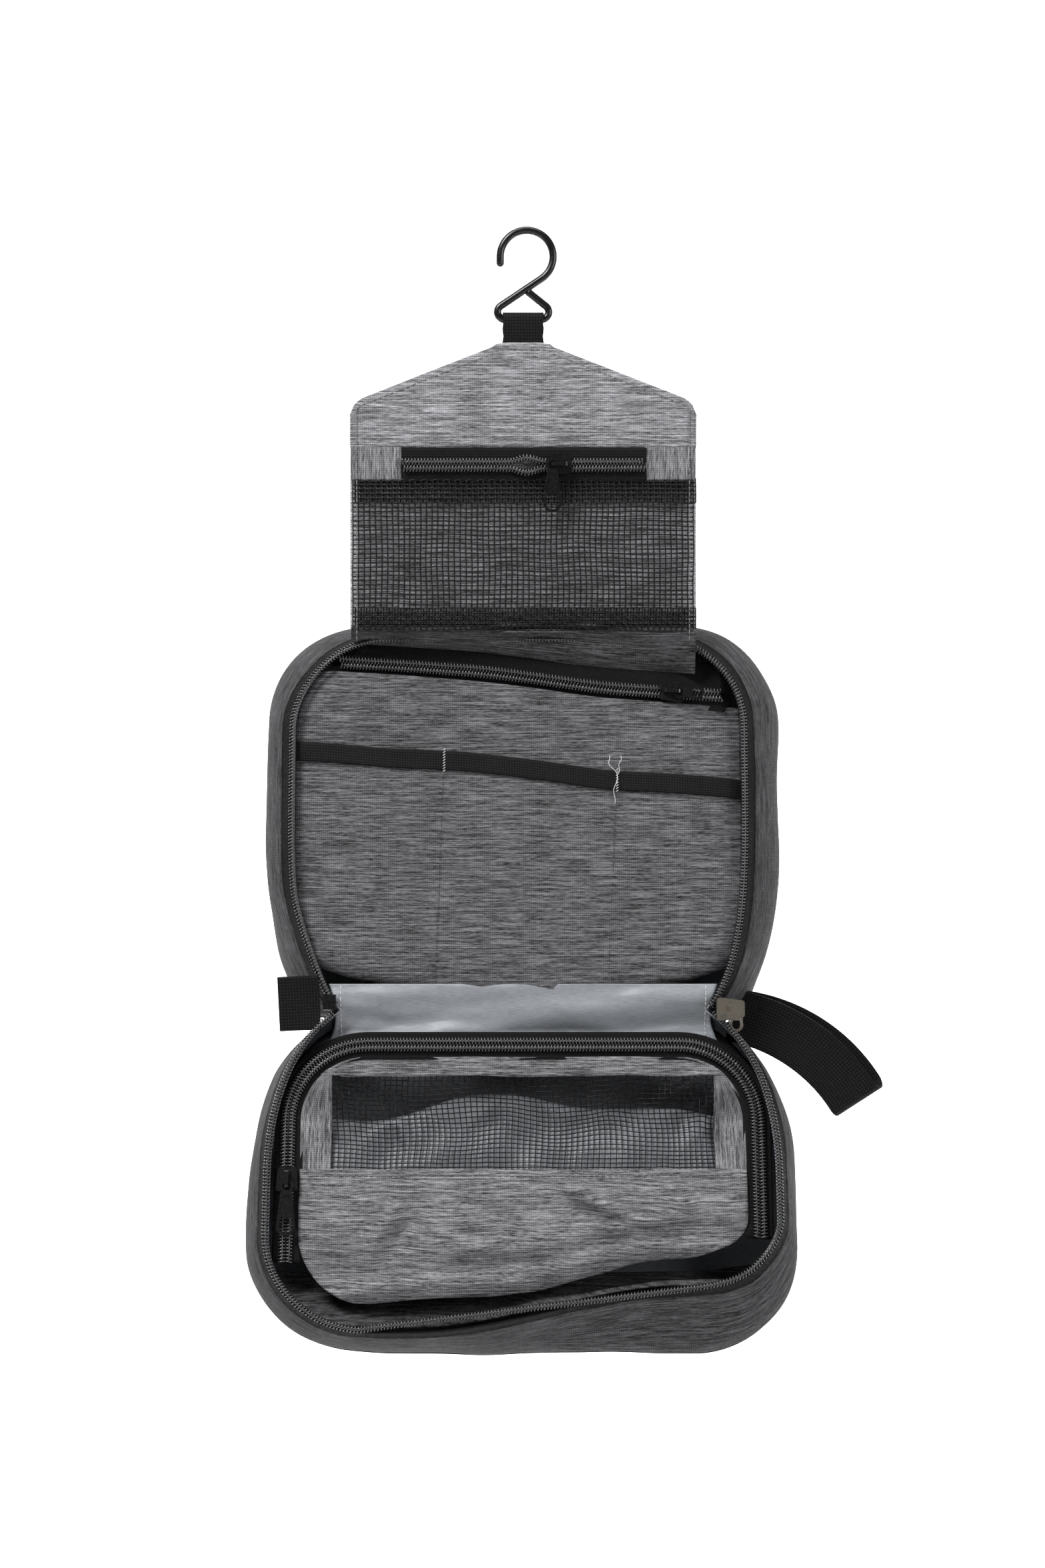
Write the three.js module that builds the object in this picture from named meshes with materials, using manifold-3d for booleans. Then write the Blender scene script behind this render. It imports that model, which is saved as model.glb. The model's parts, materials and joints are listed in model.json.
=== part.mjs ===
// Hanging toiletry bag, opened out: hook, pentagonal zip flap, upper and lower zipped halves, hinged lid.
// Millimetres, +Z up, -Y towards the front. The origin is the point of the hook that rests on a rail.
import * as THREE from 'three';
import { mergeVertices } from 'three/addons/utils/BufferGeometryUtils.js';
import Module from 'manifold-3d';

const wasm = await Module();
wasm.setup();

// ---------------------------------------------------------------- driving dimensions
const CLEAR = 0.3; // gap kept between pieces that touch
const CLOTH = 1.2; // outer fabric with its backing
const CURVE_STEPS = 6; // facets along one corner or side curve
const BEYOND = 400; // past every edge, for the blocks that trim a plate
const RIM_START = 8; // where the main zip's coil starts, above the fold
const TAPE_DEPTH = 6; // how far the main zip's tape reaches down the wall

const hook = { rod: 3.6, ring: 12.4, ringX: 1.5, barDrop: 40, cornerX: 8.5, cornerRadius: 3.5, tipDrop: 3 };
const webbing = { narrow: 19, wide: 25, thickness: 1.1 };
const flap = {
  halfWidth: 81, peakHalf: 10, peakDrop: 50.8, shoulderDrop: 75, shoulderHalf: 76, sideDrop: 82,
  baseDrop: 196, seamDrop: 100.2, bandDrop: 116, meshDrop: 185.5, tabWidth: 24, frontGap: 2.1, edge: 2.5,
};
const upper = { halfWidth: 104, height: 172, depth: 45, side: 18, end: 14, waist: 86, corner: 42, tilt: 8 };
const lower = { halfWidth: 117, height: 146, depth: 42, side: 9, end: 5, waist: 86, corner: 44, tilt: 17 };
const spine = { drop: 362, hingeFront: 3.2, upperStrip: 9.4, lowerStrip: 11 };
const zip = { pitch: 1.5, row: 3.1, cord: 1.7, tooth: 0.45, height: 2.2, tape: 0.6 };
const slider = { length: 11.2, wide: 9.8, narrow: 8.6, wall: 1.1, bridgeRise: 3.6, bridgeWidth: 1.8 };
const pull = { length: 25.7, eye: 6.6, eyeHole: 3.6, width: 8.6, neck: 5, plate: 1.1 };
const shortPull = { length: 15, width: 6.4 };
const flapZip = { halfLength: flap.halfWidth - flap.tabWidth, drop: 108.7, sliderX: 17.2, lensFrom: -6.5, lensTo: 9.7, lensOpen: 1.9 };
const panel = { recess: 4.6, pocketTop: 154, pocketSlope: 3.8, slipTop: 112, elastic: 9, inset: 3.6 };
const lid = {
  sideGap: 3.55, tapeEdge: 1.6, top: 21, bottom: 12, corner: 30, lowCorner: 34, recess: 6, strip: 14, topStrip: 8, meshEnd: 73,
};
const lidZip = { restV: 78, endAboveBase: 30 };
const handle = { length: 58, gap: 8, slope: 37, rootX: 112.5, rootY: 8, rootDrop: 367 };
const tab = { length: 14, rootX: 98, y: -19.5, drop: 358.5 };

const LINING = 2.8; // from the outer face to the lining's inner face
// The lid zip's two rows, measured outwards from the lid's edge, and the lid's half width.
const lidRowInner = slider.wide / 2 + CLEAR - zip.row / 2 + 0.2;
const lidRowOuter = lidRowInner + zip.row + 0.1;
const lidHalf = lower.halfWidth - LINING - lid.sideGap - lid.tapeEdge - lidRowOuter;
const flapSetback = 5.5; // how far the rim's top edge stands behind the flap
const radians = THREE.MathUtils.degToRad;

// ---------------------------------------------------------------- finishes
const finish = (color, roughness, metalness = 0) => () =>
  new THREE.MeshStandardMaterial({ color, roughness, metalness });
const heather = finish(0x74747a, 0.9);
const satin = finish(0x9c9fa4, 0.45);
const black = finish(0x141416, 0.65);
const mesh = finish(0x1c1c1f, 0.7);
const plastic = finish(0x0d0d0e, 0.35);
const metal = finish(0x8a8273, 0.35, 1);

// ---------------------------------------------------------------- helpers
function place(parent, name, geometry, material) {
  const piece = new THREE.Mesh(geometry, material());
  piece.name = name;
  parent.add(piece);
  return piece;
}

function solid(geometry) {
  const bare = geometry.clone();
  bare.deleteAttribute('normal');
  bare.deleteAttribute('uv');
  const merged = mergeVertices(bare, 1e-4);
  const vertProperties = new Float32Array(merged.attributes.position.array);
  const triVerts = new Uint32Array(merged.index.array);
  return new wasm.Manifold(new wasm.Mesh({ numProp: 3, vertProperties, triVerts }));
}

function toGeometry(manifold) {
  const result = manifold.getMesh();
  const geometry = new THREE.BufferGeometry();
  geometry.setAttribute('position', new THREE.BufferAttribute(result.vertProperties, 3));
  geometry.setIndex(new THREE.BufferAttribute(result.triVerts, 1));
  return geometry;
}

const union = (...pieces) => toGeometry(pieces.map(solid).reduce((sum, piece) => sum.add(piece)));
const cut = (body, ...tools) => toGeometry(tools.map(solid).reduce((rest, tool) => rest.subtract(tool), solid(body)));

// A shape drawn in X and Z, thickened along +Y between two depths.
function slab(shape, front, back, steps = 1) {
  const options = { depth: back - front, bevelEnabled: false, steps, curveSegments: CURVE_STEPS };
  const geometry = new THREE.ExtrudeGeometry(shape, options);
  geometry.rotateX(Math.PI / 2);
  geometry.translate(0, back, 0);
  return geometry;
}

function polygon(points) {
  return new THREE.Shape(points.map(([x, z]) => new THREE.Vector2(x, z)));
}

function rectangle(x0, z0, x1, z1) {
  return polygon([[x0, z0], [x1, z0], [x1, z1], [x0, z1]]);
}

function moveVertices(geometry, move) {
  const position = geometry.attributes.position;
  const point = new THREE.Vector3();
  for (let i = 0; i < position.count; i += 1) {
    point.fromBufferAttribute(position, i);
    move(point);
    position.setXYZ(i, point.x, point.y, point.z);
  }
  return geometry;
}

// An oval section swept along a line of points; the section is wide across the path and thin along Y.
function bead(points, width, thickness, steps) {
  const section = new THREE.Shape();
  const sides = 6;
  for (let i = 0; i < sides; i += 1) {
    const angle = ((i + 0.5) / sides) * 2 * Math.PI;
    const corner = new THREE.Vector2(Math.cos(angle) * thickness, Math.sin(angle) * width).multiplyScalar(0.54);
    if (i === 0) section.moveTo(corner.x, corner.y);
    else section.lineTo(corner.x, corner.y);
  }
  section.closePath();
  const extrudePath = new THREE.CatmullRomCurve3(points, false, 'centripetal');
  return new THREE.ExtrudeGeometry(section, { steps, bevelEnabled: false, extrudePath });
}

// ---------------------------------------------------------------- hook
function makeHook() {
  const { ring, ringX, barDrop, cornerX, cornerRadius, tipDrop } = hook;
  const ringZ = -(ring - hook.rod / 2);
  const at = (x, z) => new THREE.Vector3(x, 0, z);
  const arc = (x, z, r, from, to, count) => Array.from({ length: count + 1 }, (_, i) => {
    const angle = radians(from + ((to - from) * i) / count);
    return at(x + r * Math.cos(angle), z + r * Math.sin(angle));
  });
  const leave = -56;
  const cornerZ = -barDrop + cornerRadius;
  const upperLine = arc(ringX, ringZ, ring, 180, leave, 26);
  const left = arc(-cornerX, cornerZ, cornerRadius, 124, 270, 7);
  const right = arc(cornerX, cornerZ, cornerRadius, 270, 409, 7);
  const junction = at(1.4, -26.4);
  const tip = at(ringX - ring, ringZ - tipDrop);
  const main = [tip, ...upperLine, ...left, at(0, -barDrop)];
  const arm = [at(-2, -barDrop), ...right, junction];
  const sweep = (points, steps) => {
    const section = new THREE.Shape().absarc(0, 0, hook.rod / 2, 0, 2 * Math.PI);
    const curve = new THREE.CatmullRomCurve3(points, false, 'centripetal');
    return new THREE.ExtrudeGeometry(section, { steps, bevelEnabled: false, extrudePath: curve, curveSegments: 5 });
  };
  const knob = new THREE.SphereGeometry(hook.rod / 2 + 0.05, 12, 8).translate(tip.x, 0, tip.z);
  return union(sweep(main, 54), sweep(arm, 18), knob);
}

// ---------------------------------------------------------------- flap
function flapOutline(inset) {
  const w = flap.halfWidth - inset;
  const outline = new THREE.Shape();
  outline.moveTo(-w, -flap.baseDrop + inset);
  outline.lineTo(w, -flap.baseDrop + inset);
  outline.lineTo(w, -flap.sideDrop);
  outline.quadraticCurveTo(w, -flap.shoulderDrop - inset - 1, flap.shoulderHalf - inset, -flap.shoulderDrop - inset);
  outline.lineTo(flap.peakHalf + 4, -flap.peakDrop - inset - 1.2);
  outline.quadraticCurveTo(0, -flap.peakDrop - inset + 1, -flap.peakHalf - 4, -flap.peakDrop - inset - 1.2);
  outline.lineTo(-flap.shoulderHalf + inset, -flap.shoulderDrop - inset);
  outline.quadraticCurveTo(-w, -flap.shoulderDrop - inset - 1, -w, -flap.sideDrop);
  return outline;
}

function makeHookLoop() {
  const inner = hook.rod / 2 + 0.55;
  const outer = inner + webbing.thickness;
  const tail = flap.peakDrop - hook.barDrop - CLEAR - 0.4;
  const loop = new THREE.Shape();
  loop.moveTo(-outer, -tail).lineTo(outer, -tail);
  loop.absarc(0, 0, outer, 0, Math.PI, false);
  const hole = new THREE.Path();
  hole.moveTo(-inner, -tail + webbing.thickness).lineTo(inner, -tail + webbing.thickness);
  hole.absarc(0, 0, inner, 0, Math.PI, false);
  loop.holes.push(hole);
  const options = { depth: webbing.narrow, bevelEnabled: false, curveSegments: 14 };
  const geometry = new THREE.ExtrudeGeometry(loop, options);
  geometry.rotateX(Math.PI / 2).rotateZ(Math.PI / 2);
  geometry.translate(-webbing.narrow / 2, 0, -hook.barDrop);
  return geometry;
}

function clipFlap(z0, z1, front, back) {
  const whole = slab(flapOutline(flap.edge * 0.2), front, back);
  const window = slab(rectangle(-flap.halfWidth * 2, z0, flap.halfWidth * 2, z1), front - 1, back + 1);
  return toGeometry(solid(whole).intersect(solid(window)));
}

// One row of coil teeth: a cord with fingers across it, each finger reaching between two of the other row.
function coilRow(length, side) {
  const half = length / 2;
  const reach = zip.row - zip.cord - CLEAR;
  const count = Math.floor(length / zip.pitch) - 1;
  const start = (-(count - 1) / 2) * zip.pitch + (side * zip.pitch) / 4;
  const comb = [[-half, zip.row], [-half, zip.row - zip.cord]];
  for (let i = 0; i < count; i += 1) {
    const x = start + i * zip.pitch;
    comb.push([x - zip.tooth / 2, zip.row - zip.cord], [x - zip.tooth / 2 + 0.05, -reach]);
    comb.push([x + zip.tooth / 2 - 0.05, -reach], [x + zip.tooth / 2, zip.row - zip.cord]);
  }
  comb.push([half, zip.row - zip.cord], [half, zip.row]);
  const stretch = Math.ceil(length / 6);
  for (let i = 1; i < stretch; i += 1) comb.push([half - (length * i) / stretch, zip.row]);
  const outline = polygon(side > 0 ? comb : comb.map(([x, z]) => [x, -z]));
  return slab(outline, -zip.height / 2, zip.height / 2);
}

function openLens(geometry, side) {
  return moveVertices(geometry, (point) => {
    const along = (point.x - flapZip.lensFrom) / (flapZip.lensTo - flapZip.lensFrom);
    if (along > 0 && along < 1) point.z += side * flapZip.lensOpen * Math.sin(Math.PI * along) ** 2;
  });
}

// ---------------------------------------------------------------- zip slider and pull
// The slider runs along X over a coil centred on the origin, with its bridge towards -Y.
function shield(length, wide, narrow) {
  const outline = new THREE.Shape();
  const x = length / 2;
  outline.moveTo(-x, -wide / 2 + 1.6);
  outline.quadraticCurveTo(-x, -wide / 2, -x + 2, -wide / 2);
  outline.lineTo(x - 2.4, -narrow / 2);
  outline.quadraticCurveTo(x, -narrow / 2, x, -narrow / 2 + 1.6);
  outline.lineTo(x, narrow / 2 - 1.6);
  outline.quadraticCurveTo(x, narrow / 2, x - 2.4, narrow / 2);
  outline.lineTo(-x + 2, wide / 2);
  outline.quadraticCurveTo(-x, wide / 2, -x, wide / 2 - 1.6);
  return outline;
}

const bridgeLeg = -slider.length / 2 + 2.1;

function makeSliderBody() {
  const inside = zip.height / 2 + CLEAR;
  const outside = inside + slider.wall;
  const skirt = zip.height / 2 - 0.05;
  const channelHalf = zip.row + CLEAR + 0.1;
  const shell = slab(shield(slider.length, slider.wide, slider.narrow), -outside, skirt);
  const mouth = slider.length / 2 + 1;
  const channel = slab(polygon([
    [-mouth, -channelHalf - 0.7], [0, -channelHalf], [mouth, -channelHalf],
    [mouth, channelHalf], [0, channelHalf], [-mouth, channelHalf + 0.7],
  ]), -inside, skirt + 1);
  const far = slider.length / 2 - 1.6;
  const arch = new THREE.Shape();
  const top = outside + slider.bridgeRise;
  const near = bridgeLeg - 0.8;
  arch.moveTo(near, outside - 0.3).lineTo(far, outside - 0.3).lineTo(far, outside + 0.6);
  arch.quadraticCurveTo(far, top, far - 1.2, top);
  arch.lineTo(bridgeLeg + 1, top);
  arch.quadraticCurveTo(near, top, near, top - 1.2);
  const gap = new THREE.Path();
  gap.moveTo(bridgeLeg + 0.8, outside - 0.1).lineTo(bridgeLeg + 0.8, top - 1.3);
  gap.lineTo(far - 2.4, top - 1.3).lineTo(far - 1.8, outside - 0.1);
  arch.holes.push(gap);
  const bridge = new THREE.ExtrudeGeometry(arch, {
    depth: slider.bridgeWidth, bevelEnabled: false, curveSegments: 4,
  });
  bridge.translate(0, 0, -slider.bridgeWidth / 2).scale(1, -1, -1);
  return toGeometry(solid(shell).subtract(solid(channel)).add(solid(bridge)));
}

function makeSliderPlate() {
  const front = zip.height / 2 + CLEAR + zip.tape + CLEAR;
  return slab(shield(slider.length, slider.wide, slider.narrow), front, front + slider.wall - 0.2);
}

// The pull hangs from the bridge leg that passes through its eye; the eye's centre is the local origin.
function makePull(length, width) {
  const eye = pull.eye / 2;
  const end = -length + eye;
  const plate = new THREE.Shape();
  plate.moveTo(-pull.neck / 2, -eye * 0.7).lineTo(-width / 2, end + width / 2);
  plate.absarc(0, end + width / 2, width / 2, Math.PI, 2 * Math.PI, false);
  plate.lineTo(pull.neck / 2, -eye * 0.7);
  plate.absarc(0, 0, eye, radians(-44), radians(224), false);
  plate.holes.push(new THREE.Path().absarc(0, 0, pull.eyeHole / 2, 0, 2 * Math.PI, true));
  const slotHalf = width / 2 - 1.3;
  const slotEnd = end + 1.3 + slotHalf;
  const slot = new THREE.Path();
  const slotTop = slotEnd + Math.max(length * 0.27 - slotHalf, 0.4);
  slot.moveTo(-slotHalf, slotEnd).absarc(0, slotEnd, slotHalf, Math.PI, 2 * Math.PI, false);
  slot.lineTo(slotHalf * 0.9, slotTop).lineTo(-slotHalf * 0.9, slotTop);
  plate.holes.push(slot);
  const body = slab(plate, -pull.plate / 2, pull.plate / 2);
  const hollowTop = -eye - 1;
  const hollowEnd = slotTop + 1.4;
  if (hollowTop - hollowEnd < 3) return body;
  const dish = polygon([
    [-pull.neck / 2 + 1, hollowTop], [-width / 2 + 1.1, hollowEnd],
    [width / 2 - 1.1, hollowEnd], [pull.neck / 2 - 1, hollowTop],
  ]);
  return cut(body, slab(dish, -pull.plate, -pull.plate / 2 + 0.35));
}

const pullY = -(zip.height / 2 + CLEAR + slider.wall + 0.45 + pull.plate / 2);

// Adds a slider, its rear plate and its pull; turn is the slider's turn in the zip's plane and hang the pull's,
// both in degrees.
function addSlider(parent, name, position, turn, hang = 0, size = pull) {
  const group = new THREE.Group();
  group.position.set(...position);
  parent.add(group);
  for (const [suffix, geometry] of [['body', makeSliderBody()], ['rear_plate', makeSliderPlate()]]) {
    place(group, `${name}_slider_${suffix}`, geometry, plastic).rotation.y = radians(turn);
  }
  const leg = new THREE.Vector3(bridgeLeg, pullY, 0).applyAxisAngle(new THREE.Vector3(0, 1, 0), radians(turn));
  const pullTab = place(group, `${name}_pull_tab`, makePull(size.length, size.width), plastic);
  pullTab.position.copy(leg);
  pullTab.rotation.y = radians(hang);
}

function makeFlap(root) {
  const front = flap.frontGap;
  const skin = 0.9;
  place(root, 'hook_loop', makeHookLoop(), black);
  place(root, 'flap_back_panel', slab(flapOutline(0), 0, CLOTH), heather);
  place(root, 'flap_top_panel', clipFlap(-flap.seamDrop, 0, -front - skin, -CLEAR), heather);
  const tabInner = flap.halfWidth - flap.tabWidth;
  const bandTop = -flap.seamDrop - CLEAR;
  const bandEnd = -flap.bandDrop;
  for (const [side, sign] of [['left', -1], ['right', 1]]) {
    const edges = [sign * (flap.halfWidth - 0.5), sign * tabInner].sort((a, b) => a - b);
    const shape = rectangle(edges[0], bandEnd, edges[1], bandTop);
    place(root, `flap_tab_${side}`, slab(shape, -front - skin, -CLEAR), heather);
  }
  const half = flapZip.halfLength - CLEAR;
  const centre = -flapZip.drop;
  const tapeBack = -front - skin + zip.tape;
  const tapeGap = zip.row - 0.9;
  const lens = (x) => {
    const along = (x - flapZip.lensFrom) / (flapZip.lensTo - flapZip.lensFrom);
    return along > 0 && along < 1 ? flapZip.lensOpen * Math.sin(Math.PI * along) ** 2 : 0;
  };
  const edge = Array.from({ length: 25 }, (_, i) => -half + (2 * half * i) / 24);
  const tape = (sign, outer) => polygon([
    ...edge.map((x) => [x, centre + sign * (tapeGap + lens(x))]),
    [half, outer], [-half, outer],
  ].map(([x, z]) => [sign > 0 ? x : -x, z]));
  place(root, 'flap_zip_tape_upper', slab(tape(1, bandTop), tapeBack - zip.tape, tapeBack), black);
  place(root, 'flap_zip_tape_lower', slab(tape(-1, bandEnd), tapeBack - zip.tape, tapeBack), black);
  const coilY = tapeBack - zip.tape - CLEAR - zip.height / 2;
  for (const [side, sign] of [['upper', 1], ['lower', -1]]) {
    const row = place(root, `flap_coil_${side}`, openLens(coilRow(2 * half, sign), sign), plastic);
    row.position.set(0, coilY, centre);
  }
  const meshSide = flap.halfWidth - flap.edge;
  const meshShape = rectangle(-meshSide, -flap.meshDrop, meshSide, bandEnd - CLEAR);
  place(root, 'flap_mesh', slab(meshShape, -front - 0.5, -front + 0.3), mesh);
  const hemShape = rectangle(-flap.halfWidth + 0.5, -flap.baseDrop + 0.5, flap.halfWidth - 0.5, -flap.meshDrop - CLEAR);
  place(root, 'flap_hem', slab(hemShape, -front - skin, -CLEAR), heather);
  addSlider(root, 'flap', [flapZip.sliderX, coilY, centre], 0);
}

// ---------------------------------------------------------------- a zipped half of the bag
// Local frame of a half: X across, Y into its depth from the rim, Z away from the spine.
function rimShape(half, inset, from = 0) {
  const w = half.halfWidth - inset;
  const waist = half.waist - inset;
  const low = Math.max(inset, from);
  const high = half.height - inset;
  const r = half.corner - inset;
  const middle = half.height * 0.42;
  const start = waist + ((w - waist) * low) / middle;
  const shape = new THREE.Shape();
  shape.moveTo(-start, low).lineTo(start, low);
  shape.bezierCurveTo(start + (w - start) * 0.62, low + 14, w, low + 38, w, middle + 16);
  shape.lineTo(w, high - r);
  shape.absarc(w - r, high - r, r, 0, Math.PI / 2, false);
  shape.lineTo(-w + r, high);
  shape.absarc(-w + r, high - r, r, Math.PI / 2, Math.PI, false);
  shape.lineTo(-w, middle + 16);
  shape.bezierCurveTo(-w, low + 38, -start - (w - start) * 0.62, low + 14, -start, low);
  return shape;
}

function spread(geometry, half) {
  return moveVertices(geometry, (point) => {
    const lean = Math.sin((THREE.MathUtils.clamp(point.y / half.depth, 0, 1) * Math.PI) / 2);
    point.x *= 1 + (half.side * lean) / half.halfWidth;
    point.z *= 1 + (half.end * lean) / half.height;
  });
}

function ringWall(half, inset, wall, front, back, steps) {
  const shape = rimShape(half, inset);
  shape.holes.push(rimShape(half, inset + wall));
  return spread(slab(shape, front, back, steps), half);
}

function rimPath(half, inset, from) {
  const points = rimShape(half, inset).getPoints(CURVE_STEPS + 3).filter((p) => p.y > from);
  return points.map((p) => new THREE.Vector3(p.x, -zip.row / 2 + 0.1, p.y));
}

function addHalf(group, name, half) {
  place(group, `${name}_back_panel`, spread(slab(rimShape(half, 0), half.depth, half.depth + 2), half), heather);
  place(group, `${name}_gusset`, ringWall(half, 0, 1.4, TAPE_DEPTH + CLEAR, half.depth - CLEAR, 3), heather);
  const tapeEnd = slab(rectangle(-BEYOND, -BEYOND, BEYOND, RIM_START - 2), -1, TAPE_DEPTH + 1);
  place(group, `${name}_zip_tape`, cut(ringWall(half, 0.2, 1, 0.5, TAPE_DEPTH, 1), tapeEnd), black);
  place(group, `${name}_coil`, bead(rimPath(half, 0.8, RIM_START), 2.8, 2.8, 48), black);
  const outer = spread(slab(rimShape(half, 2), 2, half.depth - 0.4, 3), half);
  const inner = spread(slab(rimShape(half, LINING), 1, half.depth - 1.3, 3), half);
  place(group, `${name}_lining`, cut(outer, inner), satin);
}

function makeUpper(group) {
  addHalf(group, 'upper', upper);
  const slope = Math.tan(radians(panel.pocketSlope));
  const wide = upper.halfWidth * 1.5;
  const recess = panel.recess;
  const sloped = (low, high) => polygon([
    [-wide, low + slope * wide], [wide, low - slope * wide],
    [wide, high - slope * wide], [-wide, high + slope * wide],
  ]);
  const clip = (shape, inset, front, back) => {
    const plate = slab(rimShape(upper, inset, spine.upperStrip), front, back);
    return toGeometry(solid(plate).intersect(solid(slab(shape, front - 1, back + 1))));
  };
  const zipHalf = slider.wide / 2 + CLEAR;
  const belowZip = panel.pocketTop - zipHalf;
  const aboveZip = panel.pocketTop + zipHalf;
  place(group, 'pocket_panel', clip(sloped(-wide, belowZip - CLEAR), panel.inset, recess, recess + 1), heather);
  place(group, 'slip_pocket_panel', clip(sloped(-wide, panel.slipTop - panel.elastic - CLEAR), panel.inset,
    recess - CLEAR - 1, recess - CLEAR), heather);
  place(group, 'elastic_band', clip(sloped(panel.slipTop - panel.elastic, panel.slipTop), panel.inset - 0.4,
    recess - CLEAR - 1.4, recess - CLEAR), black);
  const tapeLow = clip(sloped(belowZip, panel.pocketTop - 1.6), panel.inset, recess, recess + zip.tape);
  const tapeHigh = clip(sloped(panel.pocketTop + 1.6, aboveZip + wide), panel.inset, recess, recess + zip.tape);
  place(group, 'pocket_zip_tape_lower', tapeLow, black);
  place(group, 'pocket_zip_tape_upper', tapeHigh, black);
  const coilY = recess - CLEAR - zip.height / 2;
  const rowHalf = 84;
  for (const [side, sign] of [['upper', 1], ['lower', -1]]) {
    const centre = sign * (zip.row / 2 + 0.15);
    const row = slab(rectangle(-rowHalf, centre - zip.row / 2 + 0.15, rowHalf, centre + zip.row / 2),
      -zip.height / 2, zip.height / 2);
    const piece = place(group, `pocket_coil_${side}`, row, black);
    piece.position.set(0, coilY, panel.pocketTop);
    piece.rotation.y = radians(panel.pocketSlope);
  }
  const sliderX = rowHalf - slider.length - 3;
  const sliderPlace = [sliderX, coilY, panel.pocketTop - sliderX * slope];
  addSlider(group, 'pocket', sliderPlace, 180 + panel.pocketSlope, panel.pocketSlope - 90, shortPull);
  const stripHalf = upper.waist - 1;
  place(group, 'upper_spine_strip', slab(rectangle(-stripHalf, 0.5, stripHalf, spine.upperStrip), -0.7, 0.1), satin);
  addMainSlider(group);
}

function addMainSlider(group) {
  const x = upper.waist + 4 + slider.length / 2;
  const y = -spine.hingeFront;
  const body = place(group, 'main_slider_body', makeMainSlider(), metal);
  body.position.set(x, y, 0);
  const tabPiece = place(group, 'main_pull_tab', makePull(shortPull.length, shortPull.width), metal);
  tabPiece.position.set(x + 3, y + 4.1, 1.5);
  tabPiece.rotation.x = radians(upper.tilt);
  const stop = new THREE.BoxGeometry(6, 2.4, 7);
  place(group, 'zip_bottom_stop', stop, plastic).position.set(-upper.waist - 3.4, -spine.hingeFront + 0.6, 3.2);
}

// The main slider stands at the open end of the zip: two shield plates joined by a post.
function makeMainSlider() {
  const plateY = 2.6;
  const outline = shield(slider.length + 1.6, 10.6, 8.2);
  const frontPlate = slab(outline, -plateY, -plateY + 1.1);
  const rearPlate = slab(outline, plateY - 1.1, plateY);
  const post = slab(rectangle(-5.2, -1.5, -2.4, 1.5), -plateY + 0.5, plateY - 0.5);
  const leg = new THREE.CylinderGeometry(0.9, 0.9, 3.4, 10).translate(3, plateY + 1.2, 1.5);
  const head = new THREE.CylinderGeometry(1.5, 1.5, 0.6, 12).translate(3, plateY + 3, 1.5);
  return union(frontPlate, rearPlate, post, leg, head);
}

// ---------------------------------------------------------------- lid of the lower half
function lidShape(offset, low = lid.top, high = lower.height - lid.bottom) {
  const w = lidHalf + offset;
  const r = lid.corner + offset;
  const top = low - offset;
  const bottomR = lid.lowCorner + offset;
  const shape = new THREE.Shape();
  shape.moveTo(w, high - bottomR);
  shape.absarc(w - bottomR, high - bottomR, bottomR, 0, Math.PI / 2, false);
  shape.lineTo(-w + bottomR, high);
  shape.absarc(-w + bottomR, high - bottomR, bottomR, Math.PI / 2, Math.PI, false);
  shape.lineTo(-w, top + r);
  shape.absarc(-w + r, top + r, r, Math.PI, 1.5 * Math.PI, false);
  shape.lineTo(w - r, top);
  shape.absarc(w - r, top + r, r, 1.5 * Math.PI, 2 * Math.PI, false);
  return shape;
}

// The zip's line round the sides and the top of the lid, from one side's end to the other's.
function lidPath(offset, depth) {
  const w = lidHalf + offset;
  const r = lid.corner + offset;
  const top = lid.top - offset;
  const end = lower.height - lidZip.endAboveBase;
  const points = [new THREE.Vector3(-w, depth, end), new THREE.Vector3(-w, depth, (end + top + r) / 2)];
  const corner = (x, from) => {
    for (let i = 0; i <= 8; i += 1) {
      const angle = from + (i * Math.PI) / 16;
      points.push(new THREE.Vector3(x + r * Math.cos(angle), depth, top + r + r * Math.sin(angle)));
    }
  };
  corner(-w + r, Math.PI);
  corner(w - r, 1.5 * Math.PI);
  points.push(new THREE.Vector3(w, depth, (end + top + r) / 2), new THREE.Vector3(w, depth, end));
  return points;
}

function lidBand(inner, outer, front, back) {
  const ring = slab(lidShape(outer), front, back);
  const hole = slab(lidShape(inner), front - 1, back + 1);
  const end = lower.height - lidZip.endAboveBase;
  const below = slab(rectangle(-BEYOND, end, BEYOND, BEYOND), front - 1, back + 1);
  return cut(ring, hole, below);
}

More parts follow.
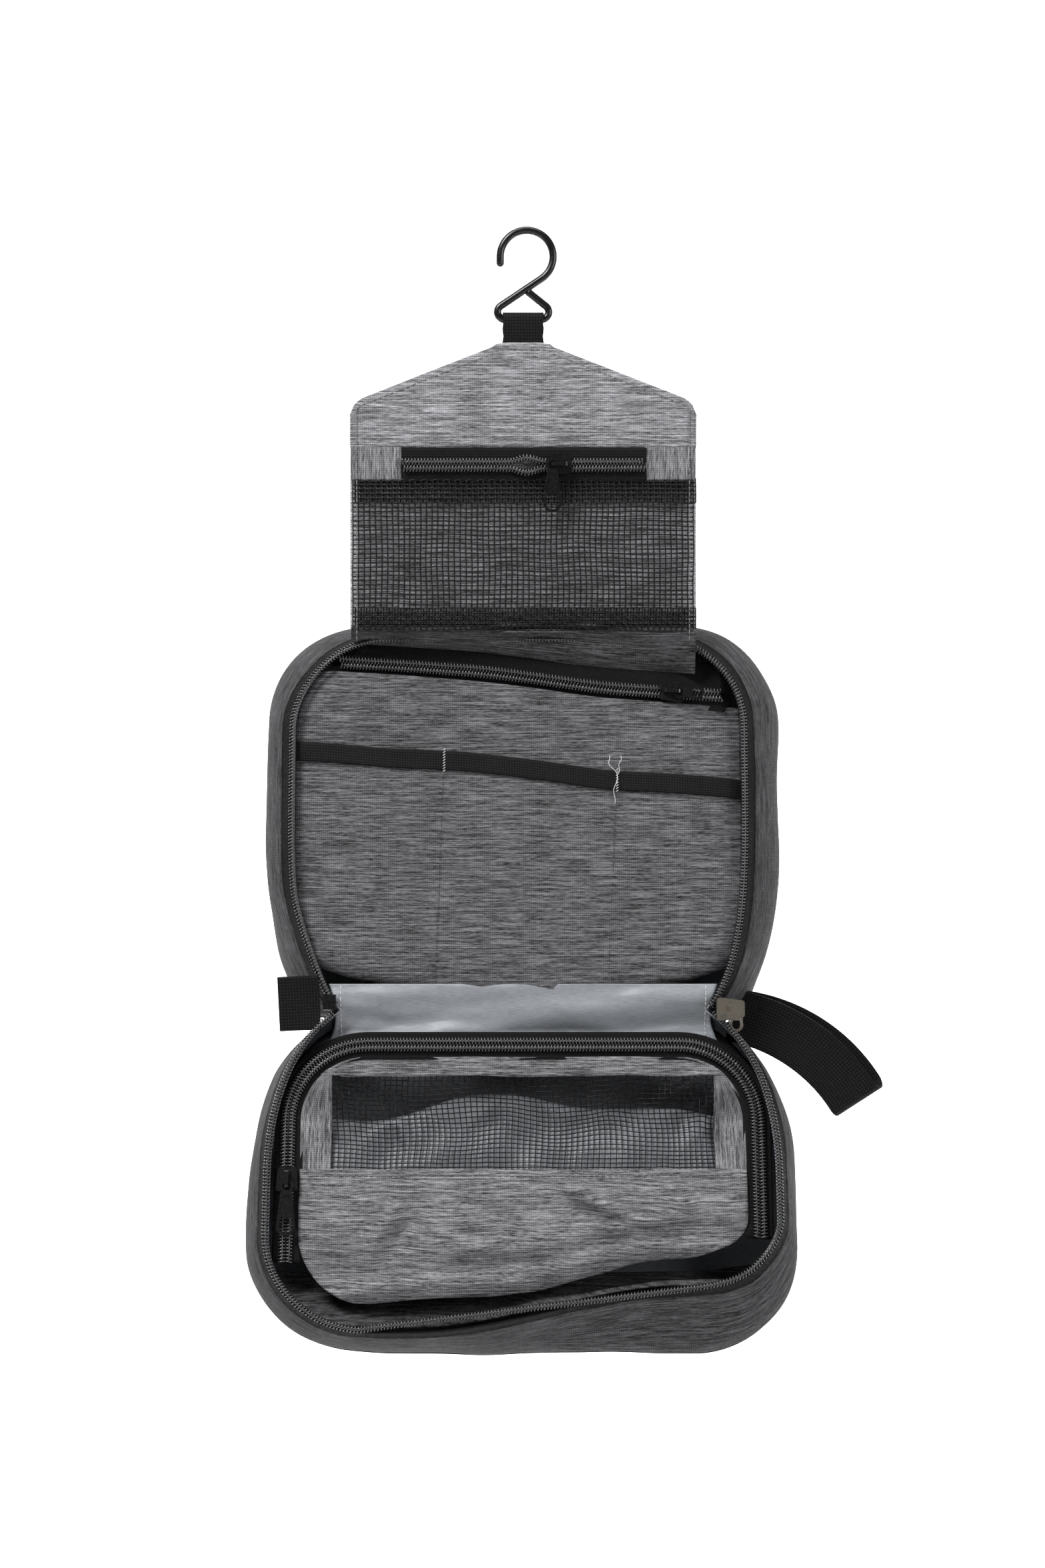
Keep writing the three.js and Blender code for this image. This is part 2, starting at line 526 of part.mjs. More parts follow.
function makeLower(group) {
  addHalf(group, 'lower', lower);
  const stripHalf = lower.waist - 1;
  place(group, 'lower_spine_strip', slab(rectangle(-stripHalf, 0.5, stripHalf, spine.lowerStrip), -0.7, 0.1), satin);
  const coilY = lid.recess - CLEAR - zip.height / 2;
  const rowWidth = zip.row - 0.3;
  place(group, 'lid_zip_tape_outer', lidBand(lidRowOuter - 1.2, lidRowOuter + lid.tapeEdge, lid.recess,
    lid.recess + zip.tape), black);
  place(group, 'lid_coil_outer', bead(lidPath(lidRowOuter, coilY), rowWidth, zip.height, 40), black);
  place(group, 'lid_zip_tape_inner', lidBand(CLEAR, lidRowInner + 1.2, lid.recess, lid.recess + zip.tape), black);
  place(group, 'lid_coil_inner', bead(lidPath(lidRowInner, coilY), rowWidth, zip.height, 40), black);
  const window = slab(lidWindow(), lid.recess - 1, lid.recess + 3);
  const whole = slab(lidShape(0), lid.recess, lid.recess + 1);
  const lowPart = slab(rectangle(-BEYOND, lid.meshEnd, BEYOND, BEYOND), lid.recess - 1, lid.recess + 3);
  place(group, 'lid_frame', cut(whole, window, lowPart), heather);
  const highPart = slab(rectangle(-BEYOND, -BEYOND, BEYOND, lid.meshEnd + CLEAR), lid.recess - 1,
    lid.recess + 3);
  place(group, 'lid_panel', cut(whole, highPart), heather);
  place(group, 'lid_mesh', slab(lidWindow(CLEAR), lid.recess + 0.1, lid.recess + 0.8), mesh);
  const sliderX = lidHalf + (lidRowInner + lidRowOuter) / 2;
  addSlider(group, 'lid', [sliderX, coilY, lidZip.restV], 90, 180);
}

function lidWindow(gap = 0) {
  const w = lidHalf - lid.strip - gap;
  const top = lid.top + lid.topStrip + gap;
  const r = lid.corner - lid.topStrip;
  const end = lid.meshEnd - gap + (gap === 0 ? 1 : 0);
  const shape = new THREE.Shape();
  shape.moveTo(w, end).lineTo(-w, end).lineTo(-w, top + r);
  shape.absarc(-w + r, top + r, r, Math.PI, 1.5 * Math.PI, false);
  shape.lineTo(w - r, top);
  shape.absarc(w - r, top + r, r, 1.5 * Math.PI, 2 * Math.PI, false);
  return shape;
}

// ---------------------------------------------------------------- webbing handle and side tab
function webbingLoop(length, gap, width) {
  const outerHalf = gap / 2 + webbing.thickness;
  const loop = new THREE.Shape();
  loop.moveTo(0, -outerHalf).lineTo(length - outerHalf, -outerHalf);
  loop.absarc(length - outerHalf, 0, outerHalf, -Math.PI / 2, Math.PI / 2, false);
  loop.lineTo(0, outerHalf);
  const inside = new THREE.Path();
  inside.moveTo(webbing.thickness, -gap / 2).lineTo(length - outerHalf, -gap / 2);
  inside.absarc(length - outerHalf, 0, gap / 2, -Math.PI / 2, Math.PI / 2, false);
  inside.lineTo(webbing.thickness, gap / 2);
  loop.holes.push(inside);
  const geometry = new THREE.ExtrudeGeometry(loop, { depth: width, bevelEnabled: false, curveSegments: 8 });
  return geometry.translate(0, 0, -width / 2);
}

function makeWebbing(root) {
  const strap = place(root, 'handle_strap', webbingLoop(handle.length, handle.gap, webbing.wide), black);
  strap.position.set(handle.rootX, handle.rootY, -handle.rootDrop);
  strap.rotation.y = radians(handle.slope);
  const sideTab = place(root, 'side_tab', webbingLoop(tab.length, 1.2, webbing.wide), black);
  sideTab.position.set(-tab.rootX, tab.y, -tab.drop);
  sideTab.rotation.set(0, Math.PI, 0);
}

// ---------------------------------------------------------------- assembly
const bag = new THREE.Group();
place(bag, 'hook', makeHook(), plastic);
makeFlap(bag);

const spineY = flapSetback - upper.height * Math.sin(radians(upper.tilt));
const upperGroup = new THREE.Group();
upperGroup.position.set(0, spineY, -spine.drop);
upperGroup.rotation.x = -radians(upper.tilt);
bag.add(upperGroup);
makeUpper(upperGroup);

const lowerGroup = new THREE.Group();
lowerGroup.position.copy(upperGroup.position);
lowerGroup.rotation.set(-radians(lower.tilt), Math.PI, 0);
bag.add(lowerGroup);
makeLower(lowerGroup);

makeWebbing(bag);

export default bag;
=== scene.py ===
# The looks of the hanging toiletry bag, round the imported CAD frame. Metres, +Z up, -Y to the front.
import json
import math

import bmesh
import bpy
import numpy as np
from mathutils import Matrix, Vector, noise


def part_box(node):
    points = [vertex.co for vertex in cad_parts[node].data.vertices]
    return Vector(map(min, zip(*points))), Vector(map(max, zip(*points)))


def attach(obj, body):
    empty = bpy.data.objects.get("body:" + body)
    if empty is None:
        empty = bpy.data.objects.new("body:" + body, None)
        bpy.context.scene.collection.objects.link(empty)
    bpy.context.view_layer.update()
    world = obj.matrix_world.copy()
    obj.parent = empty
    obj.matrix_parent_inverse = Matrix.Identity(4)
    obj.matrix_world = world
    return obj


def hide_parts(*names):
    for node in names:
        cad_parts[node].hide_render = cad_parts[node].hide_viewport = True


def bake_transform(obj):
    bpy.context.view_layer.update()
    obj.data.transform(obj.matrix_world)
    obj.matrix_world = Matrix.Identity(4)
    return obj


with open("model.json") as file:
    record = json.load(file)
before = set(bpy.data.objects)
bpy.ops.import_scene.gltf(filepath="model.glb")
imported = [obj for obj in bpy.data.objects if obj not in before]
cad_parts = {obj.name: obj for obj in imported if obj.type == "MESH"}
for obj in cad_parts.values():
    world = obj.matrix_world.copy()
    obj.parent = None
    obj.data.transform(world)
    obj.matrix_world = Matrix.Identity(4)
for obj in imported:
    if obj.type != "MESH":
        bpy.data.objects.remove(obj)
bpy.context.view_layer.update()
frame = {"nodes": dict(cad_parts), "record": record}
MM = 0.001
JOINTS = {j["name"]: j for j in frame["record"]["behaviour"]["joints"]}
MOUNTS = {m["name"]: m for m in frame["record"]["mounts"]}


# ---- places read from the frame
def box_mm(node):
    low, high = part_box(node)
    return np.array(low) * 1000, np.array(high) * 1000


def arc(x, z, radius, start, end, count):
    """Points of an arc about (x, z), with its angles in degrees."""
    angles = np.radians(np.linspace(start, end, count))
    return [(x + radius * math.cos(a), z + radius * math.sin(a)) for a in angles]


def tilt_of(vector):
    return math.atan2(-vector[2], vector[1])


def ease(x, low, high):
    """0 below low, 1 above high and smooth between them."""
    k = min(max((x - low) / (high - low), 0.0), 1.0)
    return k * k * (3 - 2 * k)


def upper_slack(u, d, v):
    """The upper rim leans out at its left side."""
    side = ease(-u, 40, 96) * (1 - ease(d, 2, 36))
    return -4.5 * side * ease(v, 15, 60) * (1 - ease(v, 130, 165) * 0.6), 0.0


def lower_slack(u, d, v):
    """The lower rim's far end is pushed up at its right side, over the standing back edge."""
    rise = 18.5 * ease(u, -50, 72) - 4.0 * ease(u, 80, 112)
    return 0.0, -rise * ease(v, 78, 132) * (1 - ease(d, 3, 34)) - 1.2 * ease(-u, 60, 110) * ease(v, 100, 140)


class Half:
    """One zipped half: u across, d into its depth from the rim, v away from the spine, all in mm."""

    def __init__(self, name, away, tilt, depth, waist, slack):
        self.name, self.away, self.tilt, self.depth, self.waist = name, away, tilt, depth, waist
        self.slack = slack
        hinge = JOINTS["bag_fold"]["pos_m"]
        self.spine = (hinge[1] * 1000 + HINGE_FRONT * math.cos(UPPER_TILT),
                      hinge[2] * 1000 - HINGE_FRONT * math.sin(UPPER_TILT))
        self.height = self.measure(f"{name}_zip_tape")
        self.half_width = box_mm(f"{name}_coil")[1][0] + 0.8 - COIL_HALF
        self.side = box_mm(f"{name}_back_panel")[1][0] - self.half_width
        self.end = self.measure(f"{name}_back_panel") - self.height
        self.corner = CORNER[name]

    def measure(self, node):
        """How far from the spine a node reaches, along v."""
        co = np.array([v.co for v in frame["nodes"][node].data.vertices]) * 1000
        y, z = co[:, 1] - self.spine[0], co[:, 2] - self.spine[1]
        return float((y * math.sin(self.tilt) * self.away + z * math.cos(self.tilt) * self.away).max())

    def at(self, u, d, v):
        """A point of the half as a frame point in metres."""
        s, c = math.sin(self.tilt), math.cos(self.tilt)
        du, dv = self.slack(u, d, v)
        u, v = u + du, v + dv
        y = self.spine[0] + self.away * v * s + d * c
        z = self.spine[1] + self.away * v * c - d * s
        return Vector((u, y, z)) * MM

    def lean(self, u, d, v):
        """The wall's spread towards the back."""
        k = math.sin(min(max(d / self.depth, 0), 1) * math.pi / 2)
        return u * (1 + self.side * k / self.half_width), d, v * (1 + self.end * k / self.height)

    def outline(self, inset=0.0, steps=24):
        """Rim points (u, v) from the left waist round the far end to the right waist."""
        w, waist = self.half_width - inset, self.waist - inset
        high, r = self.height - inset, self.corner - inset
        middle = self.height * 0.42
        side = []
        p = [(waist, 0.0), (waist + (w - waist) * 0.62, 14.0), (w, 38.0), (w, middle + 16)]
        for i in range(steps):
            t = i / steps
            b = [(1 - t) ** 3, 3 * t * (1 - t) ** 2, 3 * t * t * (1 - t), t ** 3]
            side.append((sum(k * q[0] for k, q in zip(b, p)), sum(k * q[1] for k, q in zip(b, p))))
        straight = high - r - (middle + 16)
        side += [(w, middle + 16 + straight * i / 8) for i in range(8)]
        side += arc(w - r, high - r, r, 0, 90, steps)
        left = [(-u, v) for u, v in side]
        return left + side[::-1][1:]

    def width_at(self, v, inset=0.0):
        """Half width of the rim's outline at a height."""
        pts = [(q[1], q[0]) for q in self.outline(inset) if q[0] > 0]
        pts.sort()
        return float(np.interp(v, [q[0] for q in pts], [q[1] for q in pts]))


HINGE_FRONT = 3.2
COIL_HALF = 1.45
UPPER_TILT = tilt_of(MOUNTS["back_rest"]["axis"])
LOWER_TILT = math.atan2(-JOINTS["lid_zip_slide"]["axis"][1], -JOINTS["lid_zip_slide"]["axis"][2])
WAIST = box_mm("upper_spine_strip")[1][0] + 1
CORNER = {"upper": 42, "lower": 44}
UPPER = Half("upper", 1, UPPER_TILT, 45, WAIST, upper_slack)
LOWER = Half("lower", -1, LOWER_TILT, 42, WAIST, lower_slack)


# ---- materials
def node_material(name):
    material = bpy.data.materials.new(name)
    material.use_nodes = True
    tree = material.node_tree
    shader = tree.nodes["Principled BSDF"]
    return material, tree, shader


def add(tree, kind, **settings):
    node = tree.nodes.new(kind)
    for key, value in settings.items():
        if key in node.inputs:
            node.inputs[key].default_value = value
        else:
            setattr(node, key, value)
    return node


def texture(tree, kind, stretch, Scale=1.0, **settings):
    """A texture on the cloth's own UV, in metres, stretched by so much along U and V."""
    uv = add(tree, "ShaderNodeUVMap", uv_map="grain")
    place = add(tree, "ShaderNodeMapping")
    place.inputs["Scale"].default_value = (*stretch, 1)
    tree.links.new(uv.outputs["UV"], place.inputs["Vector"])
    node = add(tree, "ShaderNodeTex" + kind, Scale=Scale, **settings)
    tree.links.new(place.outputs[0], node.inputs["Vector"])
    return node


def relief(tree, height, strength, distance, onto):
    """Bump from a height, sent on to the Normal of another node."""
    bump = add(tree, "ShaderNodeBump", Strength=strength, Distance=distance)
    tree.links.new(height, bump.inputs["Height"])
    tree.links.new(bump.outputs["Normal"], onto.inputs["Normal"])
    return bump


def ramp(tree, factor, stops):
    node = add(tree, "ShaderNodeValToRGB")
    elements = node.color_ramp.elements
    while len(elements) < len(stops):
        elements.new(0.5)
    for element, (position, value) in zip(elements, stops):
        element.position = position
        element.color = (*value, 1) if isinstance(value, tuple) else (value, value, value, 1)
    tree.links.new(factor, node.inputs["Fac"])
    return node


def mix(tree, kind, factor, a, b):
    node = add(tree, "ShaderNodeMix", data_type="RGBA", blend_type=kind)
    if isinstance(factor, (int, float)):
        node.inputs[0].default_value = factor
    else:
        tree.links.new(factor, node.inputs[0])
    for slot, value in ((6, a), (7, b)):
        if isinstance(value, tuple):
            node.inputs[slot].default_value = value
        else:
            tree.links.new(value, node.inputs[slot])
    return node.outputs[2]


def heather(name, dark, light, tint=(1.0, 0.99, 1.04)):
    """Grey melange twill: long light and dark yarn streaks along U, fine weave relief. UV is in metres."""
    material, tree, shader = node_material(name)
    streak = texture(tree, "Noise", (64, 1250), Detail=3.0, Roughness=0.62)
    yarn = texture(tree, "Noise", (320, 2600), Detail=2.0, Roughness=0.6)
    patch = texture(tree, "Noise", (30, 380), Detail=2.0, Roughness=0.5)
    mid = (dark + light) * 0.42

    def shade(level):
        return tuple(level * part for part in tint)
    a = ramp(tree, streak.outputs["Fac"], [(0.39, shade(dark)), (0.5, shade(mid)), (0.61, shade(light))])
    b = ramp(tree, yarn.outputs["Fac"],
             [(0.40, shade(dark * 0.8)), (0.5, shade(mid)), (0.60, shade(light * 1.15))])
    c = ramp(tree, patch.outputs["Fac"], [(0.36, 0.82), (0.64, 1.14)])
    base = mix(tree, "MIX", 0.35, a.outputs["Color"], b.outputs["Color"])
    base = mix(tree, "MULTIPLY", 1.0, base, c.outputs["Color"])
    warp = texture(tree, "Wave", (330, 120), bands_direction="X", Distortion=0.6)
    weft = texture(tree, "Wave", (60, 330), bands_direction="Y", Distortion=0.8)
    weave = mix(tree, "MULTIPLY", 1.0, warp.outputs["Color"], weft.outputs["Color"])
    dim = ramp(tree, weave, [(0.0, 0.7), (0.6, 1.12)])
    base = mix(tree, "MULTIPLY", 1.0, base, dim.outputs["Color"])
    tree.links.new(base, shader.inputs["Base Color"])
    coarse = relief(tree, streak.outputs["Fac"], 0.35, 0.0005, shader)
    relief(tree, weave, 0.5, 0.0004, coarse)
    shader.inputs["Roughness"].default_value = 0.9
    shader.inputs["Specular IOR Level"].default_value = 0.25
    return material


def satin(name, level):
    """Light grey satin lining: fine sheen along the weave."""
    material, tree, shader = node_material(name)
    fine = texture(tree, "Noise", (250, 3500), Detail=2.0, Roughness=0.6)
    low = (level * 0.82, level * 0.87, level * 0.95)
    high = (level * 1.18, level * 1.24, level * 1.33)
    tone = ramp(tree, fine.outputs["Fac"], [(0.35, low), (0.65, high)])
    tree.links.new(tone.outputs["Color"], shader.inputs["Base Color"])
    relief(tree, fine.outputs["Fac"], 0.25, 0.0002, shader)
    shader.inputs["Roughness"].default_value = 0.45
    shader.inputs["Specular IOR Level"].default_value = 0.5
    return material


def webbing(name, rib, tone, contrast):
    """Black woven tape: ribs across U at a pitch of rib metres, with small bright glints on the yarns."""
    material, tree, shader = node_material(name)
    k = math.pi / rib
    cross = texture(tree, "Wave", (k, k * 0.3), bands_direction="X", Scale=0.1, Distortion=0.4)
    along = texture(tree, "Wave", (k * 0.3, k), bands_direction="Y", Scale=0.1, Distortion=0.4)
    grain = texture(tree, "Noise", (1600, 1600), Detail=2.0)
    weave = mix(tree, "MULTIPLY", 1.0, cross.outputs["Color"], along.outputs["Color"])
    tone_ramp = ramp(tree, weave, [(0.1, tone * 0.5), (0.75, tone * contrast)])
    speck = ramp(tree, grain.outputs["Fac"], [(0.35, 0.75), (0.7, 1.6)])
    base = mix(tree, "MULTIPLY", 1.0, tone_ramp.outputs["Color"], speck.outputs["Color"])
    tree.links.new(base, shader.inputs["Base Color"])
    relief(tree, weave, 0.6, 0.0003, shader)
    shader.inputs["Roughness"].default_value = 0.7
    shader.inputs["Specular IOR Level"].default_value = 0.12
    return material


def plain_plastic(name, tone, roughness, specular=0.5, scale=900):
    material, tree, shader = node_material(name)
    coordinates = add(tree, "ShaderNodeTexCoord")
    grain = add(tree, "ShaderNodeTexNoise", Scale=scale, Detail=2.0)
    tree.links.new(coordinates.outputs["Object"], grain.inputs["Vector"])
    tone_ramp = ramp(tree, grain.outputs["Fac"], [(0.3, tone * 0.8), (0.7, tone * 1.3)])
    tree.links.new(tone_ramp.outputs["Color"], shader.inputs["Base Color"])
    shader.inputs["Specular IOR Level"].default_value = specular
    rough = ramp(tree, grain.outputs["Fac"], [(0.3, roughness * 0.85), (0.7, roughness * 1.15)])
    tree.links.new(rough.outputs["Color"], shader.inputs["Roughness"])
    relief(tree, grain.outputs["Fac"], 0.08, 0.0002, shader)
    return material


def antique_nickel():
    material, tree, shader = node_material("antique_nickel")
    coordinates = add(tree, "ShaderNodeTexCoord")
    tarnish = add(tree, "ShaderNodeTexNoise", Scale=260.0, Detail=4.0)
    tree.links.new(coordinates.outputs["Object"], tarnish.inputs["Vector"])
    tone = ramp(tree, tarnish.outputs["Fac"], [(0.3, (0.16, 0.13, 0.10)), (0.65, (0.52, 0.48, 0.41))])
    rough = ramp(tree, tarnish.outputs["Fac"], [(0.3, 0.45), (0.7, 0.22)])
    tree.links.new(tone.outputs["Color"], shader.inputs["Base Color"])
    tree.links.new(rough.outputs["Color"], shader.inputs["Roughness"])
    shader.inputs["Metallic"].default_value = 1.0
    return material


# One grey heather cloth in lit and shaded copies, each with its dark and light levels set for the light its
# parts get: painted light on the flap and behind its net, painted half shade on the lid and tabs, painted
# shade on the pockets, walls, hem and lower recess.
HEATHER_SHADED_POCKET = heather("heather_pocket_painted_shade", dark=0.008, light=0.185)
HEATHER_LIT_FLAP = heather("heather_flap_painted_light", dark=0.045, light=0.39)
HEATHER_LIT_BEHIND_NET = heather("heather_behind_net_painted_light", dark=0.06, light=0.6)
HEATHER_HALF_SHADED_LID = heather("heather_lid_painted_half_shade", dark=0.022, light=0.30)
HEATHER_SHADED_WALL = heather("heather_wall_painted_shade", dark=0.003, light=0.105)
# The pouch lining behind the lid net takes a darker copy of the same satin: painted shade for its recess.
SATIN = satin("satin_lining", 0.2)
SHADED_SATIN = satin("satin_pouch_painted_shade", 0.17)
TAPE = webbing("black_tape", 0.0009, 0.0035, 2.0)
WEBBING = webbing("black_webbing", 0.0014, 0.0035, 2.6)
ELASTIC = webbing("black_elastic", 0.0012, 0.0045, 2.6)
COIL = plain_plastic("black_coil_nylon", 0.02, 0.25, 0.9)
PLASTIC = plain_plastic("black_moulded_plastic", 0.004, 0.26, 0.4)
NET = plain_plastic("black_net_thread", 0.003, 0.35, 0.2)
THREAD = plain_plastic("grey_thread", 0.13, 0.7)
LIGHT_THREAD = plain_plastic("light_thread", 0.5, 0.7)
DARK_THREAD = plain_plastic("black_thread", 0.03, 0.7)
NICKEL = antique_nickel()


# ---- mesh helpers
def wobble(p, amount, size, seed=0.0):
    """Smooth noise of a given amount in mm; p is a point in mm and size the wrinkle's size in mm."""
    return amount * noise.noise(Vector((p[0] / size + seed, p[1] / size - seed, p[2] / size + 2 * seed)))


def make_mesh(name, verts, faces, material, uvs=None, smooth=True):
    data = bpy.data.meshes.new(name)
    data.from_pydata([tuple(v) for v in verts], [], faces)
    data.validate()
    if uvs is not None:
        layer = data.uv_layers.new(name="grain")
        loops = np.empty(len(data.loops), dtype=np.int64)
        data.loops.foreach_get("vertex_index", loops)
        layer.data.foreach_set("uv", np.asarray(uvs, dtype=float)[loops].ravel())
    data.polygons.foreach_set("use_smooth", [smooth] * len(data.polygons))
    data.materials.append(material)
    piece = bpy.data.objects.new(name, data)
    bpy.context.scene.collection.objects.link(piece)
    return piece


FLAT = {}


def sheet(name, point, nu, nv, material, thick=0.0, grain="u", offset=0.0):
    """A sheet of cloth: point(s, t) gives its place in metres, s and t from 0 to 1.

    The yarns run along s (grain u), along t (grain v) or level across the bag (grain flat).
    """
    grid = [[point(i / nu, j / nv) for i in range(nu + 1)] for j in range(nv + 1)]
    verts = [p for row in grid for p in row]
    across = [0.0]
    for i in range(nu):
        across.append(across[-1] + (grid[nv // 2][i + 1] - grid[nv // 2][i]).length)
    along = [0.0]
    for j in range(nv):
        along.append(along[-1] + (grid[j + 1][nu // 2] - grid[j][nu // 2]).length)
    uvs = []
    for j in range(nv + 1):
        for i in range(nu + 1):
            if grain == "flat":
                uvs.append((grid[j][i].x, grid[j][i].z))
            else:
                uvs.append((across[i], along[j]) if grain == "u" else (along[j], across[i]))
    row = nu + 1
    faces = [(j * row + i, j * row + i + 1, (j + 1) * row + i + 1, (j + 1) * row + i)
             for j in range(nv) for i in range(nu)]
    piece = make_mesh(name, verts, faces, material, uvs)
    places = np.array(verts).reshape(nv + 1, nu + 1, 3)
    wide = np.linalg.norm(np.diff(places, axis=1), axis=2).sum(axis=1).max()
    long = np.linalg.norm(np.diff(places, axis=0), axis=2).sum(axis=0).max()
    FLAT[name] = (piece, wide, long, sum(face.area for face in piece.data.polygons))
    if thick:
        thicken(piece, thick, offset)
    return piece


def thicken(piece, thick, offset=0.0):
    modifier = piece.modifiers.new("cloth", "SOLIDIFY")
    modifier.thickness = thick * MM
    modifier.offset = offset
    modifier.use_even_offset = True


def tube(points, radius, sides=6):
    """Vertices and faces of a round tube along points (metres), radius in mm."""
    count = len(points)
    pts = np.array([tuple(p) for p in points])
    tangent = np.gradient(pts, axis=0)
    tangent /= np.linalg.norm(tangent, axis=1)[:, None] + 1e-12
    reference = np.array((0.0, 1.0, 0.0))
    if abs(np.dot(tangent[0], reference)) > 0.9:
        reference = np.array((1.0, 0.0, 0.0))
    verts = []
    normal = reference - tangent[0] * np.dot(reference, tangent[0])
    for i in range(count):
        normal = normal - tangent[i] * np.dot(normal, tangent[i])
        normal /= np.linalg.norm(normal) + 1e-12
        side = np.cross(tangent[i], normal)
        for k in range(sides):
            a = 2 * math.pi * k / sides
            verts.append(pts[i] + (normal * math.cos(a) + side * math.sin(a)) * radius * MM)
    faces = []
    for i in range(count - 1):
        for k in range(sides):
            n = (k + 1) % sides
            faces.append((i * sides + k, i * sides + n, (i + 1) * sides + n, (i + 1) * sides + k))
    faces.append(tuple(reversed(range(sides))))
    faces.append(tuple((count - 1) * sides + k for k in range(sides)))
    return verts, faces


class Bundle:
    """Collects many small tubes into one mesh."""

    def __init__(self):
        self.verts, self.faces = [], []

    def add(self, made):
        verts, faces = made
        start = len(self.verts)
        self.verts += list(verts)
        self.faces += [tuple(start + i for i in face) for face in faces]

    def build(self, name, material):
        return make_mesh(name, self.verts, self.faces, material)


def resample(points, step):
    """Evenly spaced points along a line, step in mm."""
    pts = np.array([tuple(p) for p in points])
    length = np.concatenate([[0], np.cumsum(np.linalg.norm(np.diff(pts, axis=0), axis=1))])
    count = max(int(length[-1] / (step * MM)), 2)
    targets = np.linspace(0, length[-1], count + 1)
    return [Vector([np.interp(t, length, pts[:, k]) for k in range(3)]) for t in targets]


def coil_row(bundle, points, front, side, half_width=1.35, height=0.85, pitch=1.5, wire=0.36):
    """A nylon coil along points round its core: front is the way it faces, side 1 or -1 its outer side."""
    per_turn = 10
    path = resample(points, pitch / per_turn)
    line = []
    for i, centre in enumerate(path):
        tangent = (path[min(i + 1, len(path) - 1)] - path[max(i - 1, 0)]).normalized()
        out = front.cross(tangent).normalized() * side
        a = 2 * math.pi * i / per_turn
        line.append(centre + out * (half_width * math.cos(a) * MM) + front * (height * math.sin(a) * MM))
    bundle.add(tube(line, wire, 5))
    core_step, core_radius = 3, 0.62
    bundle.add(tube(resample(points, core_step), core_radius))


def stitches(bundle, points, out, length=2.3, gap=0.9, radius=0.24, lift=0.12):
    """A line of lockstitches along points: short bowed threads that dip into the cloth at their ends."""
    step = 0.4
    path = resample(points, step)
    per = int((length + gap) / step)
    stitch = int(length / step)
    for start in range(0, len(path) - stitch - 1, per):
        line = []
        for k in range(stitch + 1):
            rise = math.sin(math.pi * k / stitch) * 0.3 - 0.12 + lift
            line.append(path[start + k] + out * (rise * MM))
        bundle.add(tube(line, radius, 5))


def ride_as(piece, body, slot, *nodes):
    """The piece rides on a body and stands in for CAD nodes; slot is not used."""
    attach(piece, body)
    if nodes:
        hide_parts(*nodes)


# ---- hook
def make_hook():
    high = box_mm("hook")[1]
    rod = high[1]
    ring_r = 12.4
    ring_x = high[0] - rod - ring_r + 0.3
    ring_z = -(ring_r - rod)
    bar_z = JOINTS["hook_swivel"]["pos_m"][2] * 1000
    corner_r = 3.5
    corner_x = 8.5
    cz = bar_z + corner_r
    ring = arc(ring_x, ring_z, ring_r, 180, -56, 60)
    left = arc(-corner_x, cz, corner_r, 124, 270, 16)
    right = arc(corner_x, cz, corner_r, 270, 409, 16)
    tip = [(ring_x - ring_r, ring_z - 3)]
    bundle = Bundle()
    for line in (tip + ring + left + [(0, bar_z)], [(-1, bar_z)] + right + [(2.2, -27.0)]):
        path = resample([Vector((x, 0, z)) * MM for x, z in line], 0.6)
        bundle.add(tube(path, rod, 20))
    piece = bundle.build("hook_rod", PLASTIC)
    bm = bmesh.new()
    bm.from_mesh(piece.data)
    made = bmesh.ops.create_uvsphere(bm, u_segments=20, v_segments=12, radius=rod * MM)
    bmesh.ops.translate(bm, verts=made["verts"], vec=Vector((tip[0][0], 0, tip[0][1])) * MM)
    for face in bm.faces:
        face.smooth = True
    bm.to_mesh(piece.data)
    bm.free()
    ride_as(piece, "hook", "black_plastic", "hook")


def make_hook_loop():
    low, high = box_mm("hook_loop")
    half = high[0]
    radius = high[1] - 0.6
    bar_z = JOINTS["hook_swivel"]["pos_m"][2] * 1000
    tail = bar_z - low[2] + 3.5

    def point(s, t):
        total = tail * 2 + math.pi * radius
        run = t * total
        if run < tail:
            y, z = -radius, -tail + run
        elif run < tail + math.pi * radius:
            a = (run - tail) / radius
            y, z = -radius * math.cos(a), radius * math.sin(a)
        else:
            y, z = radius, -(run - tail - math.pi * radius)
        squeeze = min(1.0, max(0.0, -z / tail))
        y *= 1 - 0.55 * squeeze ** 1.5
        x = (s * 2 - 1) * half * (1 + 0.02 * math.sin(z))
        return Vector((x, y, bar_z + z)) * MM
    piece = sheet("hook_webbing_loop", point, 20, 60, WEBBING, 1.1)
    ride_as(piece, "flap", "black_webbing", "hook_loop")


# ---- flap
FLAP_LOW, FLAP_HIGH = box_mm("flap_back_panel")
FLAP_HALF = FLAP_HIGH[0]
SEAM = box_mm("flap_top_panel")[0][2]
BAND = box_mm("flap_tab_left")[0][2]
MESH_END = box_mm("flap_mesh")[0][2]
FLAP_BASE = FLAP_LOW[2]
SHOULDER = -75.0


def flap_top(x):
    """Height of the flap's upper edge at x: sloped roof with a blunt peak and rounded shoulders."""
    peak = FLAP_HIGH[2]
    a = abs(x)
    slope = (peak + 0.9 - SHOULDER) / (76 - 12)
    z = peak - 0.3 if a < 10 else peak - 0.3 - slope * (a - 10) - 0.4
    if 8 < a < 14:
        z = peak - 0.3 - 0.12 * (a - 8) ** 1.1
    if a > 74:
        k = (a - 74) / (FLAP_HALF - 74)
        z -= 5.5 * (1 - math.sqrt(max(0.0, 1 - k * k)))
    return z


def flap_wave(x, z):
    return wobble((x, 0, z), 0.9, 60, 3.1) + wobble((x, 0, z), 0.35, 18, 7.7)


